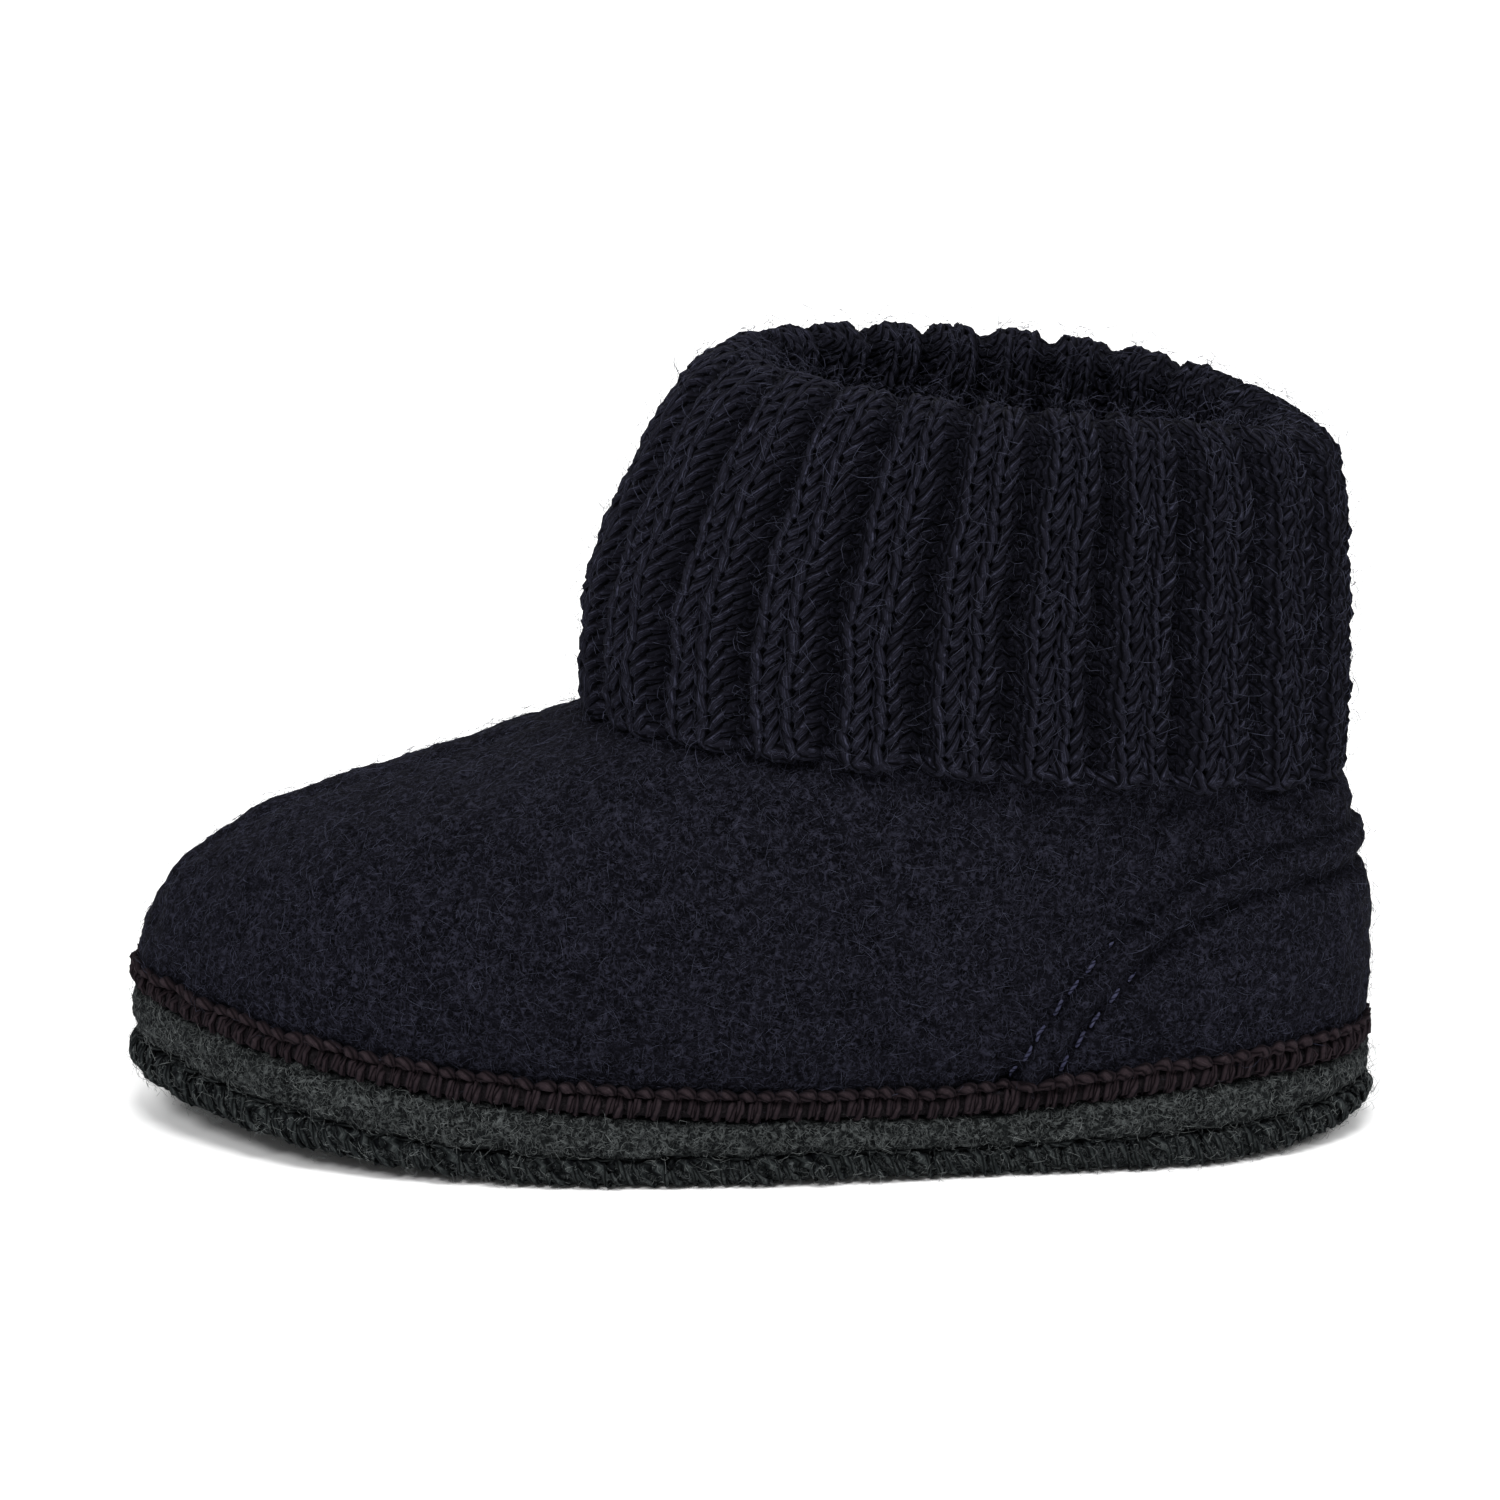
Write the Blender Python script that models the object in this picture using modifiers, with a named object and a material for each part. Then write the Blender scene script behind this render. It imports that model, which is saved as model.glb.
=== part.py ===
"""Left wool bootee slipper with a turned-down rib cuff, a heel counter and a felt sole.

Metres, +Z up. The toe points along -X and the outer side of the foot faces -Y.
The origin is on the floor under the middle of the slipper.
"""

import math

import bpy
import numpy as np

# Sole
LENGTH = 0.1908
BALL_WIDTH = 0.0755
HEEL_WIDTH = 0.0570
TOE_SWING = 0.0040
TOE_SPRING = 0.0065
HEEL_SPRING = 0.0030
ARCH_LIFT = 0.0006
OUTSOLE_EDGE = 0.0043
OUTSOLE_ROUND = 0.0024
MIDSOLE_EDGE = 0.0053
MIDSOLE_BED = 0.0035
GROOVE_DEPTH = 0.0010
BAND_HEIGHT = 0.0037
BAND_DEPTH = 0.0024
INSOLE_THICKNESS = 0.0040

# Upper
FELT_WALL = 0.0032
SIDE_BULGE = 0.0020
LIP_INSET = 0.0008
LIP_RISE = 0.0010
INSTEP_HEIGHT = 0.0655
BACK_HEIGHT = 0.0565
NECK_HEIGHT = 0.0090
COLLAR_LENGTH = 0.1078
COLLAR_WIDTH = 0.0630
COLLAR_SETBACK = 0.0089
SEAM_DEPTH = 0.0009
SEAM_WIDTH = 0.0030

# Heel counter
COUNTER_WALL = 0.0022
COUNTER_LENGTH = 0.0540
COUNTER_HEIGHT = 0.0325
CHANNEL_WIDTH = 0.0064

# Knitted cuff
RIBS = 22
RIB_DEPTH = 0.0019
RIB_DRIFT = 0.012
RIB_TURN = 0.016
KNIT_WALL = 0.0045
CUFF_FRONT = 0.0562
CUFF_BACK = 0.0536
FRONT_LEAN = 0.0190
BACK_LEAN = 0.0046
SIDE_LEAN = 0.0022

# Gap that neighbouring pieces keep, and the looser ones under the counter and the hem
CLEARANCE = 0.0003
COUNTER_GAP = 0.0005
HEM_GAP = 0.0005

# The sole's half widths as shares of the width there, at shares of the length from the toe
OUTLINE = (
    # along, outer, inner
    (0.00, 0.400, 0.520),
    (0.10, 0.505, 0.580),
    (0.20, 0.522, 0.570),
    (0.30, 0.510, 0.544),
    (0.45, 0.503, 0.462),
    (0.60, 0.552, 0.458),
    (0.70, 0.574, 0.512),
    (0.80, 0.612, 0.600),
    (0.90, 0.660, 0.680),
    (1.00, 0.650, 0.660),
)
END_ROUNDNESS = 0.90

# Shares of the length from the toe between which the sole stands flat at the ball and the heel
BALL_STARTS = 0.37
BALL_ENDS = 0.47
HEEL_STARTS = 0.68
HEEL_ENDS = 0.84

# Thickness of the sole's two layers at the edge, as shares of OUTSOLE_EDGE and MIDSOLE_EDGE
EDGE = (
    # along, outsole, midsole
    (0.00, 1.50, 1.50),
    (0.10, 1.32, 1.52),
    (0.20, 1.15, 1.54),
    (0.30, 1.05, 1.46),
    (0.45, 1.00, 1.20),
    (0.60, 1.00, 1.00),
    (0.70, 1.05, 1.05),
    (0.80, 1.18, 1.27),
    (0.90, 1.28, 1.40),
    (1.00, 1.20, 1.02),
)

# Three profiles from the lip above the seam band to the foot of the neck.
# in: share of the way in to the neck. up: share of the height. out: share of SIDE_BULGE.
PROFILE = (
    # toe in, up, side in, up, out, heel in, up, out
    (0.000, 0.000, 0.00, 0.00, 0.00, 0.00, 0.00, 0.00),
    (0.015, 0.100, 0.00, 0.09, 0.50, 0.00, 0.09, 0.15),
    (0.050, 0.222, 0.03, 0.20, 0.90, 0.00, 0.20, 0.30),
    (0.100, 0.345, 0.08, 0.32, 1.00, 0.00, 0.32, 0.15),
    (0.180, 0.465, 0.15, 0.44, 0.95, 0.00, 0.44, 0.10),
    (0.280, 0.560, 0.24, 0.55, 0.80, 0.08, 0.55, 0.00),
    (0.420, 0.655, 0.35, 0.66, 0.60, 0.24, 0.66, 0.00),
    (0.580, 0.750, 0.48, 0.77, 0.40, 0.27, 0.77, 0.00),
    (0.750, 0.850, 0.64, 0.88, 0.20, 0.06, 0.87, 0.00),
    (0.920, 0.955, 0.85, 0.96, 0.05, 0.16, 0.95, 0.00),
    (1.000, 1.000, 1.00, 1.00, 0.00, 1.00, 1.00, 0.00),
)
TOE_PROFILE_ENDS = 0.44
HEEL_PROFILE_STARTS = 0.66
HEEL_PROFILE_FULL = 0.92

# The cuff's cloth from the hem up over the fold and down inside.
# up: share of the height. deep: depth outwards from the cuff's middle, in walls.
CUFF_OUTSIDE = (
    # up, deep
    (0.00, 0.98),
    (0.05, 1.05),
    (0.22, 1.05),
    (0.43, 1.16),
    (0.65, 1.36),
    (0.83, 1.50),
    (0.94, 1.20),
    (1.00, 0.00),
)
CUFF_INSIDE = (
    # up from the collar seam, deep
    (0.95, -1.10),
    (0.84, -1.42),
    (0.62, -1.25),
    (0.38, -1.10),
    (0.17, -1.00),
    (0.00, -1.00),
)
CUFF_SLOT_INSIDE = (
    # up from the collar seam, deep
    (0.00, 0.00),
    (0.17, -0.10),
    (0.47, -0.12),
    (0.77, -0.35),
)
CUFF_SLOT_OUTSIDE = (
    # up, deep
    (0.88, 0.00),
    (0.80, 0.35),
    (0.55, 0.20),
    (0.30, 0.14),
    (0.00, 0.12),
)
CUFF_LEAN = (
    # up, share of the lean
    (0.00, 0.00),
    (0.22, 0.00),
    (0.43, 0.13),
    (0.65, 0.48),
    (0.83, 0.78),
    (0.95, 0.97),
    (1.00, 1.00),
)

# The counter from its top edge down, as shares of CHANNEL_WIDTH and COUNTER_WALL
COUNTER_ROWS = (
    # down, thick
    (0.00, 0.45),
    (0.18, 0.95),
    (0.60, 1.00),
    (0.98, 0.55),
    (1.32, 1.00),
)
COUNTER_LOWER_ROWS = 5

HALF_COLUMNS = 30
FRONT_COLUMNS = (0.0, 0.3, 0.65)
COUNTER_TIP_HEIGHT = 0.0040

COLOURS = {
    # red, green, blue, roughness
    "outsole": (0.034, 0.040, 0.040, 0.95),
    "midsole": (0.042, 0.049, 0.048, 0.95),
    "seam_band": (0.030, 0.022, 0.026, 0.90),
    "insole": (0.060, 0.062, 0.064, 0.95),
    "upper": (0.010, 0.011, 0.022, 0.95),
    "heel_counter": (0.010, 0.011, 0.022, 0.95),
    "cuff": (0.009, 0.010, 0.020, 0.90),
}


def clear_scene():
    for obj in list(bpy.data.objects):
        bpy.data.objects.remove(obj)


def smooth_step(value):
    share = np.clip(value, 0.0, 1.0)
    return share * share * (3 - 2 * share)


def through(table, column, at):
    """A smooth curve through one column of a table, read at shares of its first column."""
    rows = np.array(table, float)
    x, y = rows[:, 0], rows[:, column]
    slope = np.gradient(y, x)
    at = np.clip(np.asarray(at, float), x[0], x[-1])
    i = np.clip(np.searchsorted(x, at, side="right") - 1, 0, len(x) - 2)
    width = x[i + 1] - x[i]
    t = (at - x[i]) / width
    start = (2 * t**3 - 3 * t**2 + 1) * y[i] + (t**3 - 2 * t**2 + t) * width * slope[i]
    end = (3 * t**2 - 2 * t**3) * y[i + 1] + (t**3 - t**2) * width * slope[i + 1]
    return start + end


def along(x):
    """Share of the length from the toe tip."""
    return np.clip(np.asarray(x) / LENGTH + 0.5, 0.0, 1.0)


def local_width(share):
    return BALL_WIDTH + (HEEL_WIDTH - BALL_WIDTH) * smooth_step((share - 0.35) / 0.40)


def column_angles():
    """Angles from the toe tip, 0, along the outer side to the heel, and back along the inner side."""
    steps = np.array(FRONT_COLUMNS + tuple(range(1, HALF_COLUMNS + 1)))
    half = steps * math.pi / HALF_COLUMNS
    return np.concatenate([half, -half[-2:0:-1]])


def outline():
    """The sole's outline as points and outward directions, one for each column."""
    angle = column_angles()
    share = (1 - np.cos(angle)) / 2
    x = (share - 0.5) * LENGTH
    round_end = np.abs(np.sin(angle)) ** END_ROUNDNESS
    width = local_width(share)
    outer = -through(OUTLINE, 1, share) * width * round_end
    inner = through(OUTLINE, 2, share) * width * round_end
    swing = TOE_SWING * np.clip(1 - share / 0.35, 0, 1) ** 2
    y = np.where(angle >= 0, outer, inner) + swing
    points = np.column_stack([x, y])
    tangent = np.roll(points, -1, axis=0) - np.roll(points, 1, axis=0)
    tangent /= np.linalg.norm(tangent, axis=1)[:, None]
    outward = np.column_stack([-tangent[:, 1], tangent[:, 0]])
    return points, -outward


def bottom_z(x):
    share = along(x)
    toe = TOE_SPRING * np.clip(1 - share / BALL_STARTS, 0, 1) ** 1.5
    heel = HEEL_SPRING * np.clip((share - HEEL_ENDS) / (1 - HEEL_ENDS), 0, 1) ** 2
    waist = np.clip((share - BALL_ENDS) / (HEEL_STARTS - BALL_ENDS), 0, 1)
    return toe + heel + ARCH_LIFT * np.sin(math.pi * waist) ** 2


def groove_z(x):
    return bottom_z(x) + OUTSOLE_EDGE * through(EDGE, 1, along(x))


def feather_z(x):
    """Height of the seam between the midsole's rim and the upper."""
    return groove_z(x) + MIDSOLE_EDGE * through(EDGE, 2, along(x))


def ring(inset, height):
    """A ring of points inset from the outline. height is a function of x."""
    points, outward = outline()
    placed = points - outward * np.reshape(inset, (-1, 1))
    return np.column_stack([placed, height(placed[:, 0])])


def collar_oval(share, grow=0.0):
    """Points of the neck's oval at shares of a half turn from its front."""
    back = LENGTH / 2 - COLLAR_SETBACK + grow
    front = LENGTH / 2 - COLLAR_SETBACK - COLLAR_LENGTH - grow
    half_width = COLLAR_WIDTH / 2 + grow
    angle = math.pi * share
    x = (front + back) / 2 - (back - front) / 2 * np.cos(angle)
    return np.column_stack([x, -half_width * np.sin(angle)])


def neck_base_z(share):
    """Height of the neck's foot at shares of a half turn from its front."""
    back = (1 - np.cos(math.pi * share)) / 2
    return INSTEP_HEIGHT + (BACK_HEIGHT - INSTEP_HEIGHT) * back**2.2


def turn_shares(points):
    """Each column's share of the way round from toe to heel, negative along the inner side."""
    step = np.linalg.norm(np.roll(points, -1, axis=0) - points, axis=1)
    run = np.concatenate([[0], np.cumsum(step)[:-1]])
    heel = len(FRONT_COLUMNS) + HALF_COLUMNS - 1
    whole = step.sum()
    outer = run / run[heel]
    inner = -(whole - run) / (whole - run[heel])
    return np.where(np.arange(len(points)) <= heel, outer, inner)


def profile_at(share):
    """The PROFILE rows blended for each column: way in, way up and bulge, row by column."""
    rows = np.array(PROFILE, float)
    toe = 1 - smooth_step(np.abs(share) / TOE_PROFILE_ENDS)
    heel_run = HEEL_PROFILE_FULL - HEEL_PROFILE_STARTS
    heel = smooth_step((np.abs(share) - HEEL_PROFILE_STARTS) / heel_run)
    side = 1 - toe - heel
    way_in = np.outer(rows[:, 0], toe) + np.outer(rows[:, 2], side) + np.outer(rows[:, 5], heel)
    way_up = np.outer(rows[:, 1], toe) + np.outer(rows[:, 3], side) + np.outer(rows[:, 6], heel)
    bulge = np.outer(rows[:, 4], side) + np.outer(rows[:, 7], heel)
    return way_in, way_up, bulge * SIDE_BULGE


def counter_room(x):
    """How far the upper is set in behind the counter, growing from the counter's front end."""
    front = LENGTH / 2 - COUNTER_LENGTH
    share = (x - front) / COUNTER_LENGTH
    return (COUNTER_WALL + COUNTER_GAP) * smooth_step((share + 0.2) / 0.5)


def body_rings():
    """Rings of the upper's outer face from the lip above the seam band to the neck's foot."""
    points, outward = outline()
    share = turn_shares(points)
    lip = points - outward * (LIP_INSET + counter_room(points[:, 0]))[:, None]
    lip_z = feather_z(lip[:, 0]) + BAND_HEIGHT + LIP_RISE
    neck = collar_oval(share)
    neck_z = neck_base_z(share)
    rings = []
    for way_in, way_up, bulge in zip(*profile_at(share)):
        flat = lip + (neck - lip) * way_in[:, None] + outward * bulge[:, None]
        rings.append(np.column_stack([flat, lip_z + (neck_z - lip_z) * way_up]))
    return rings


def outward_normals(rings):
    """Unit normals of a stack of rings, ring by ring."""
    grid = np.array(rings)
    around = np.roll(grid, -1, axis=1) - np.roll(grid, 1, axis=1)
    up = np.gradient(grid, axis=0)
    normal = np.cross(around, up)
    return normal / np.maximum(np.linalg.norm(normal, axis=2), 1e-9)[:, :, None]


def front_seam(rings):
    """Presses the seam down the middle of the vamp, with a soft ridge on each side of it."""
    normal = outward_normals(rings)
    swing = rings[0][0, 1]
    shaped = []
    for row, points in enumerate(rings):
        fade = smooth_step(row / 2) * smooth_step((len(rings) - 1 - row) / 2)
        middle = swing * (1 - row / (len(rings) - 1))
        off = np.abs(points[:, 1] - middle) / SEAM_WIDTH
        front = points[:, 0] < collar_oval(np.zeros(1))[0, 0]
        trough = np.where(off < 1, -np.cos(off * math.pi) * 0.5 - 0.5, 0)
        ridge = 0.45 * np.exp(-((off - 1) ** 2) * 4)
        shaped.append(points + normal[row] * (SEAM_DEPTH * fade * (trough + ridge) * front)[:, None])
    return shaped


def upper_rings():
    base_inset = BAND_DEPTH + CLEARANCE
    points, _ = outline()
    share = turn_shares(points)
    foot = ring(base_inset, lambda x: feather_z(x) + CLEARANCE / 2)
    band_top = ring(base_inset, lambda x: feather_z(x) + BAND_HEIGHT)
    body = front_seam(body_rings())
    neck = []
    for way_up in (0.5, 1.0):
        height = neck_base_z(share) + NECK_HEIGHT * way_up
        neck.append(np.column_stack([collar_oval(share), height]))
    return [foot, band_top] + body + neck


def material(name):
    red, green, blue, roughness = COLOURS[name]
    made = bpy.data.materials.new(name)
    made.use_nodes = True
    shader = made.node_tree.nodes["Principled BSDF"]
    shader.inputs["Base Color"].default_value = (red, green, blue, 1.0)
    shader.inputs["Roughness"].default_value = roughness
    shader.inputs["Metallic"].default_value = 0.0
    made.diffuse_color = (red, green, blue, 1.0)
    return made


def add_object(name, vertices, faces, collection):
    mesh = bpy.data.meshes.new(name)
    mesh.from_pydata([tuple(v) for v in vertices], [], faces)
    mesh.validate()
    mesh.shade_smooth()
    mesh.set_sharp_from_angle(angle=math.radians(50))
    mesh.materials.append(material(name))
    obj = bpy.data.objects.new(name, mesh)
    collection.objects.link(obj)
    return obj


def side_faces(rows, columns, closed_rows=False):
    """Quads between neighbouring rings, facing outwards when the rings run upwards."""
    faces = []
    for row in range(rows if closed_rows else rows - 1):
        here, above = row * columns, (row + 1) % rows * columns
        for column in range(columns):
            after = (column + 1) % columns
            faces.append((here + column, here + after, above + after, above + column))
    return faces


def cap_faces(start, columns, facing_up):
    """Strips across a ring, from each outer column to its inner partner."""
    heel = columns // 2
    faces = []
    for column in range(heel):
        a, b = column, column + 1
        c, d = (columns - b) % columns, (columns - a) % columns
        corners = []
        for corner in (a, b, c, d):
            if start + corner not in corners:
                corners.append(start + corner)
        faces.append(tuple(corners if facing_up else reversed(corners)))
    return faces


def plate(name, rings, collection):
    """A closed solid from rings that run from the underside's middle ring up and over to the top's."""
    columns = len(rings[0])
    faces = cap_faces(0, columns, facing_up=False)
    faces += side_faces(len(rings), columns)
    faces += cap_faces((len(rings) - 1) * columns, columns, facing_up=True)
    return add_object(name, np.concatenate(rings), faces, collection)


def build_outsole(collection):
    top = lambda x: groove_z(x) - CLEARANCE / 2
    edge = lambda share: lambda x: bottom_z(x) + (groove_z(x) - bottom_z(x)) * share
    plate(
        "outsole",
        [
            ring(OUTSOLE_ROUND * 3, bottom_z),
            ring(OUTSOLE_ROUND, bottom_z),
            ring(OUTSOLE_ROUND * 0.35, edge(0.16)),
            ring(0.0, edge(0.45)),
            ring(GROOVE_DEPTH * 0.3, edge(0.80)),
            ring(GROOVE_DEPTH, top),
        ],
        collection,
    )


def tray_inset():
    """Inset of the midsole tray's inner wall, just inside the upper's wall."""
    return BAND_DEPTH + CLEARANCE + FELT_WALL + CLEARANCE


def build_midsole(collection):
    bottom = lambda x: groove_z(x) + CLEARANCE / 2
    rim = lambda x: feather_z(x) - CLEARANCE / 2
    edge = lambda share: lambda x: bottom(x) + (rim(x) - bottom(x)) * share
    bed = lambda x: groove_z(x) + MIDSOLE_BED
    plate(
        "midsole",
        [
            ring(GROOVE_DEPTH, bottom),
            ring(GROOVE_DEPTH * 0.3, edge(0.14)),
            ring(0.0, edge(0.50)),
            ring(GROOVE_DEPTH * 0.3, edge(0.90)),
            ring(GROOVE_DEPTH * 0.6, rim),
            ring(tray_inset(), rim),
            ring(tray_inset() + CLEARANCE, bed),
        ],
        collection,
    )


def build_insole(collection):
    inset = tray_inset() + 2 * CLEARANCE
    bottom = lambda x: groove_z(x) + MIDSOLE_BED + CLEARANCE
    top = lambda x: bottom(x) + INSOLE_THICKNESS
    plate(
        "insole",
        [
            ring(inset, bottom),
            ring(inset, lambda x: bottom(x) + INSOLE_THICKNESS * 0.75),
            ring(inset + INSOLE_THICKNESS * 0.25, top),
        ],
        collection,
    )


def build_seam_band(collection):
    level = lambda share: lambda x: feather_z(x) + CLEARANCE / 2 + (BAND_HEIGHT - CLEARANCE) * share
    rings = [
        ring(BAND_DEPTH, level(0.0)),
        ring(BAND_DEPTH * 0.35, level(0.0)),
        ring(BAND_DEPTH * 0.05, level(0.25)),
        ring(0.0, level(0.60)),
        ring(BAND_DEPTH * 0.25, level(0.92)),
        ring(BAND_DEPTH * 0.60, level(1.0)),
        ring(BAND_DEPTH, level(0.85)),
    ]
    faces = side_faces(len(rings), len(rings[0]), closed_rows=True)
    add_object("seam_band", np.concatenate(rings), faces, collection)


def build_upper(collection):
    rings = upper_rings()
    faces = side_faces(len(rings), len(rings[0]))
    obj = add_object("upper", np.concatenate(rings), faces, collection)
    wall = obj.modifiers.new("felt wall", "SOLIDIFY")
    wall.thickness = FELT_WALL
    wall.offset = -1
    wall.use_rim = True


def counter_top_z(x):
    """Height of the counter's curved top edge over the floor, by how far forward it is."""
    back = LENGTH / 2 - COLLAR_SETBACK / 2
    run = np.clip((back - x) / COUNTER_LENGTH, 0, 1)
    return feather_z(x) + BAND_HEIGHT + COUNTER_HEIGHT * (1 - run**3)


def channel_drop(x):
    """How far down the second stitch row lies, so that the channel keeps its width where its edge slopes."""
    back = LENGTH / 2 - COLLAR_SETBACK / 2
    run = np.clip((back - x) / COUNTER_LENGTH, 0, 1)
    slope = 3 * COUNTER_HEIGHT / COUNTER_LENGTH * run**2
    return CHANNEL_WIDTH * np.hypot(1, slope)


def counter_columns(rings):
    """Column positions of the counter, from its outer front end round the heel to its inner one."""
    heel = len(rings[0]) // 2
    outer = np.linspace(0, heel, 40 * heel + 1)
    foot_x = np.interp(outer, np.arange(heel + 1), rings[0][: heel + 1, 0])
    foot_z = np.interp(outer, np.arange(heel + 1), rings[0][: heel + 1, 2])
    first = outer[np.argmax(counter_top_z(foot_x) - foot_z > COUNTER_TIP_HEIGHT)]
    whole = np.arange(math.ceil(first), 2 * heel - math.ceil(first) + 1)
    if whole[0] - first < 0.05:
        return whole
    return np.concatenate([[first], whole, [2 * heel - first]])


def between_columns(values, position):
    low = int(math.floor(position))
    share = position - low
    return values[low] * (1 - share) + values[(low + 1) % len(values)] * share


def build_heel_counter(collection):
    rings = body_rings()
    normals = outward_normals(rings)
    inner_rows, outer_rows = [], []
    for position in counter_columns(rings):
        line = np.array([between_columns(points, position) for points in rings])
        normal = np.array([between_columns(rows, position) for rows in normals])
        normal /= np.linalg.norm(normal, axis=1)[:, None]
        fine = np.linspace(0, len(line) - 1, 241)
        index = np.arange(len(line))
        path = np.column_stack([np.interp(fine, index, line[:, axis]) for axis in range(3)])
        facing = np.column_stack([np.interp(fine, index, normal[:, axis]) for axis in range(3)])
        below = path[:, 2] <= counter_top_z(path[:, 0])
        last = len(below) if below.all() else int(np.argmin(below))
        run = np.concatenate([[0], np.cumsum(np.linalg.norm(np.diff(path[:last], axis=0), axis=1))])
        top = run[-1]
        drop = min(float(channel_drop(path[last - 1, 0])), top / 2)
        stops = [top - down * drop for down, _ in COUNTER_ROWS]
        thick = [share * COUNTER_WALL for _, share in COUNTER_ROWS]
        stops += list(np.linspace(stops[-1], 0.0, COUNTER_LOWER_ROWS + 1)[1:])
        thick += [COUNTER_WALL] * COUNTER_LOWER_ROWS
        stops, thick = np.array(stops[::-1]), np.array(thick[::-1])
        place = np.column_stack([np.interp(stops, run, path[:last, axis]) for axis in range(3)])
        out = np.column_stack([np.interp(stops, run, facing[:last, axis]) for axis in range(3)])
        inner_rows.append(place + out * COUNTER_GAP)
        outer_rows.append(place + out * (COUNTER_GAP + thick)[:, None])
    rows, columns = len(inner_rows[0]), len(inner_rows)
    vertices = np.concatenate(inner_rows + outer_rows)
    shift = rows * columns
    faces = []
    for column in range(columns - 1):
        for row in range(rows - 1):
            a, b = column * rows + row, (column + 1) * rows + row
            faces.append((a, a + 1, b + 1, b))
            faces.append((shift + a, shift + b, shift + b + 1, shift + a + 1))
        for row, turned in ((0, False), (rows - 1, True)):
            a, b = column * rows + row, (column + 1) * rows + row
            edge = (a, b, shift + b, shift + a)
            faces.append(edge[::-1] if turned else edge)
    for column, turned in ((0, True), (columns - 1, False)):
        for row in range(rows - 1):
            a = column * rows + row
            edge = (a, a + 1, shift + a + 1, shift + a)
            faces.append(edge[::-1] if turned else edge)
    add_object("heel_counter", vertices, faces, collection)


def rib_shares():
    """Shares of a half turn from the front for the cuff's columns, drifting a little to the heel."""
    fine = np.linspace(-1, 1, 2001)
    points = collar_oval(fine, KNIT_WALL)
    run = np.concatenate([[0], np.cumsum(np.linalg.norm(np.diff(points, axis=0), axis=1))])
    turn = (np.arange(4 * RIBS) + 0.5) / (2 * RIBS) - 1
    turn += RIB_DRIFT * np.sin(math.pi * turn)
    return np.interp(run[-1] * (turn + 1) / 2, run, fine)


def cuff_ring(share, height, depth):
    """A ring of the cuff at given heights, leaning back with its height."""
    hem = neck_base_z(share) + HEM_GAP
    fold = fold_z(share)
    lean = np.interp((height - hem) / (fold - hem), *np.array(CUFF_LEAN).T)
    front = LENGTH / 2 - COLLAR_SETBACK - COLLAR_LENGTH + FRONT_LEAN * lean - depth
    back = LENGTH / 2 - COLLAR_SETBACK - BACK_LEAN * lean + depth
    half_width = COLLAR_WIDTH / 2 - SIDE_LEAN * lean + depth
    angle = math.pi * (share - RIB_TURN * lean * np.sin(math.pi * share))
    x = (front + back) / 2 - (back - front) / 2 * np.cos(angle)
    return np.column_stack([x, -half_width * np.sin(angle), height])


def fold_z(share):
    back = (1 - np.cos(math.pi * share)) / 2
    front_z = INSTEP_HEIGHT + CUFF_FRONT
    back_z = BACK_HEIGHT + CUFF_BACK
    return front_z + (back_z - front_z) * (0.55 * back + 0.45 * back**6)


def build_cuff(collection):
    share = rib_shares()
    hem = neck_base_z(share) + HEM_GAP
    seam = neck_base_z(share) + NECK_HEIGHT + CLEARANCE
    fold = fold_z(share)
    ridge = np.tile([1.0, 1.0, 0.0, 0.0], RIBS)
    path = [(hem + (fold - hem) * up, deep * KNIT_WALL) for up, deep in CUFF_OUTSIDE]
    path += [(seam + (fold - seam) * up, deep * KNIT_WALL) for up, deep in CUFF_INSIDE]
    rings = []
    for row, (height, depth) in enumerate(path):
        before, after = path[max(row - 1, 0)], path[min(row + 1, len(path) - 1)]
        rise, spread = after[0] - before[0], after[1] - before[1]
        run = np.hypot(rise, spread)
        sunk = RIB_DEPTH * (1 - ridge)
        rings.append(cuff_ring(share, height + sunk * spread / run, depth - sunk * rise / run))
    slot = [(seam + (fold - seam) * up, deep * KNIT_WALL) for up, deep in CUFF_SLOT_INSIDE]
    slot += [(hem + (fold - hem) * up, deep * KNIT_WALL) for up, deep in CUFF_SLOT_OUTSIDE]
    rings += [cuff_ring(share, height, depth) for height, depth in slot]
    faces = side_faces(len(rings), len(rings[0]), closed_rows=True)
    add_object("cuff", np.concatenate(rings), faces, collection)


def main():
    clear_scene()
    collection = bpy.data.collections.new("wool_slipper")
    bpy.context.scene.collection.children.link(collection)
    build_outsole(collection)
    build_midsole(collection)
    build_insole(collection)
    build_seam_band(collection)
    build_upper(collection)
    build_heel_counter(collection)
    build_cuff(collection)


main()
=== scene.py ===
"""Looks of the left wool slipper: felted upper, rib-knit cuff, overlocked seam and stitched felt sole.

Metres, +Z up. The toe points along -X and the outer side of the foot faces -Y.
"""

import math

import bmesh
import bpy
import numpy as np
from mathutils import Matrix, Vector, noise
from mathutils.bvhtree import BVHTree
from mathutils.kdtree import KDTree


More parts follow.
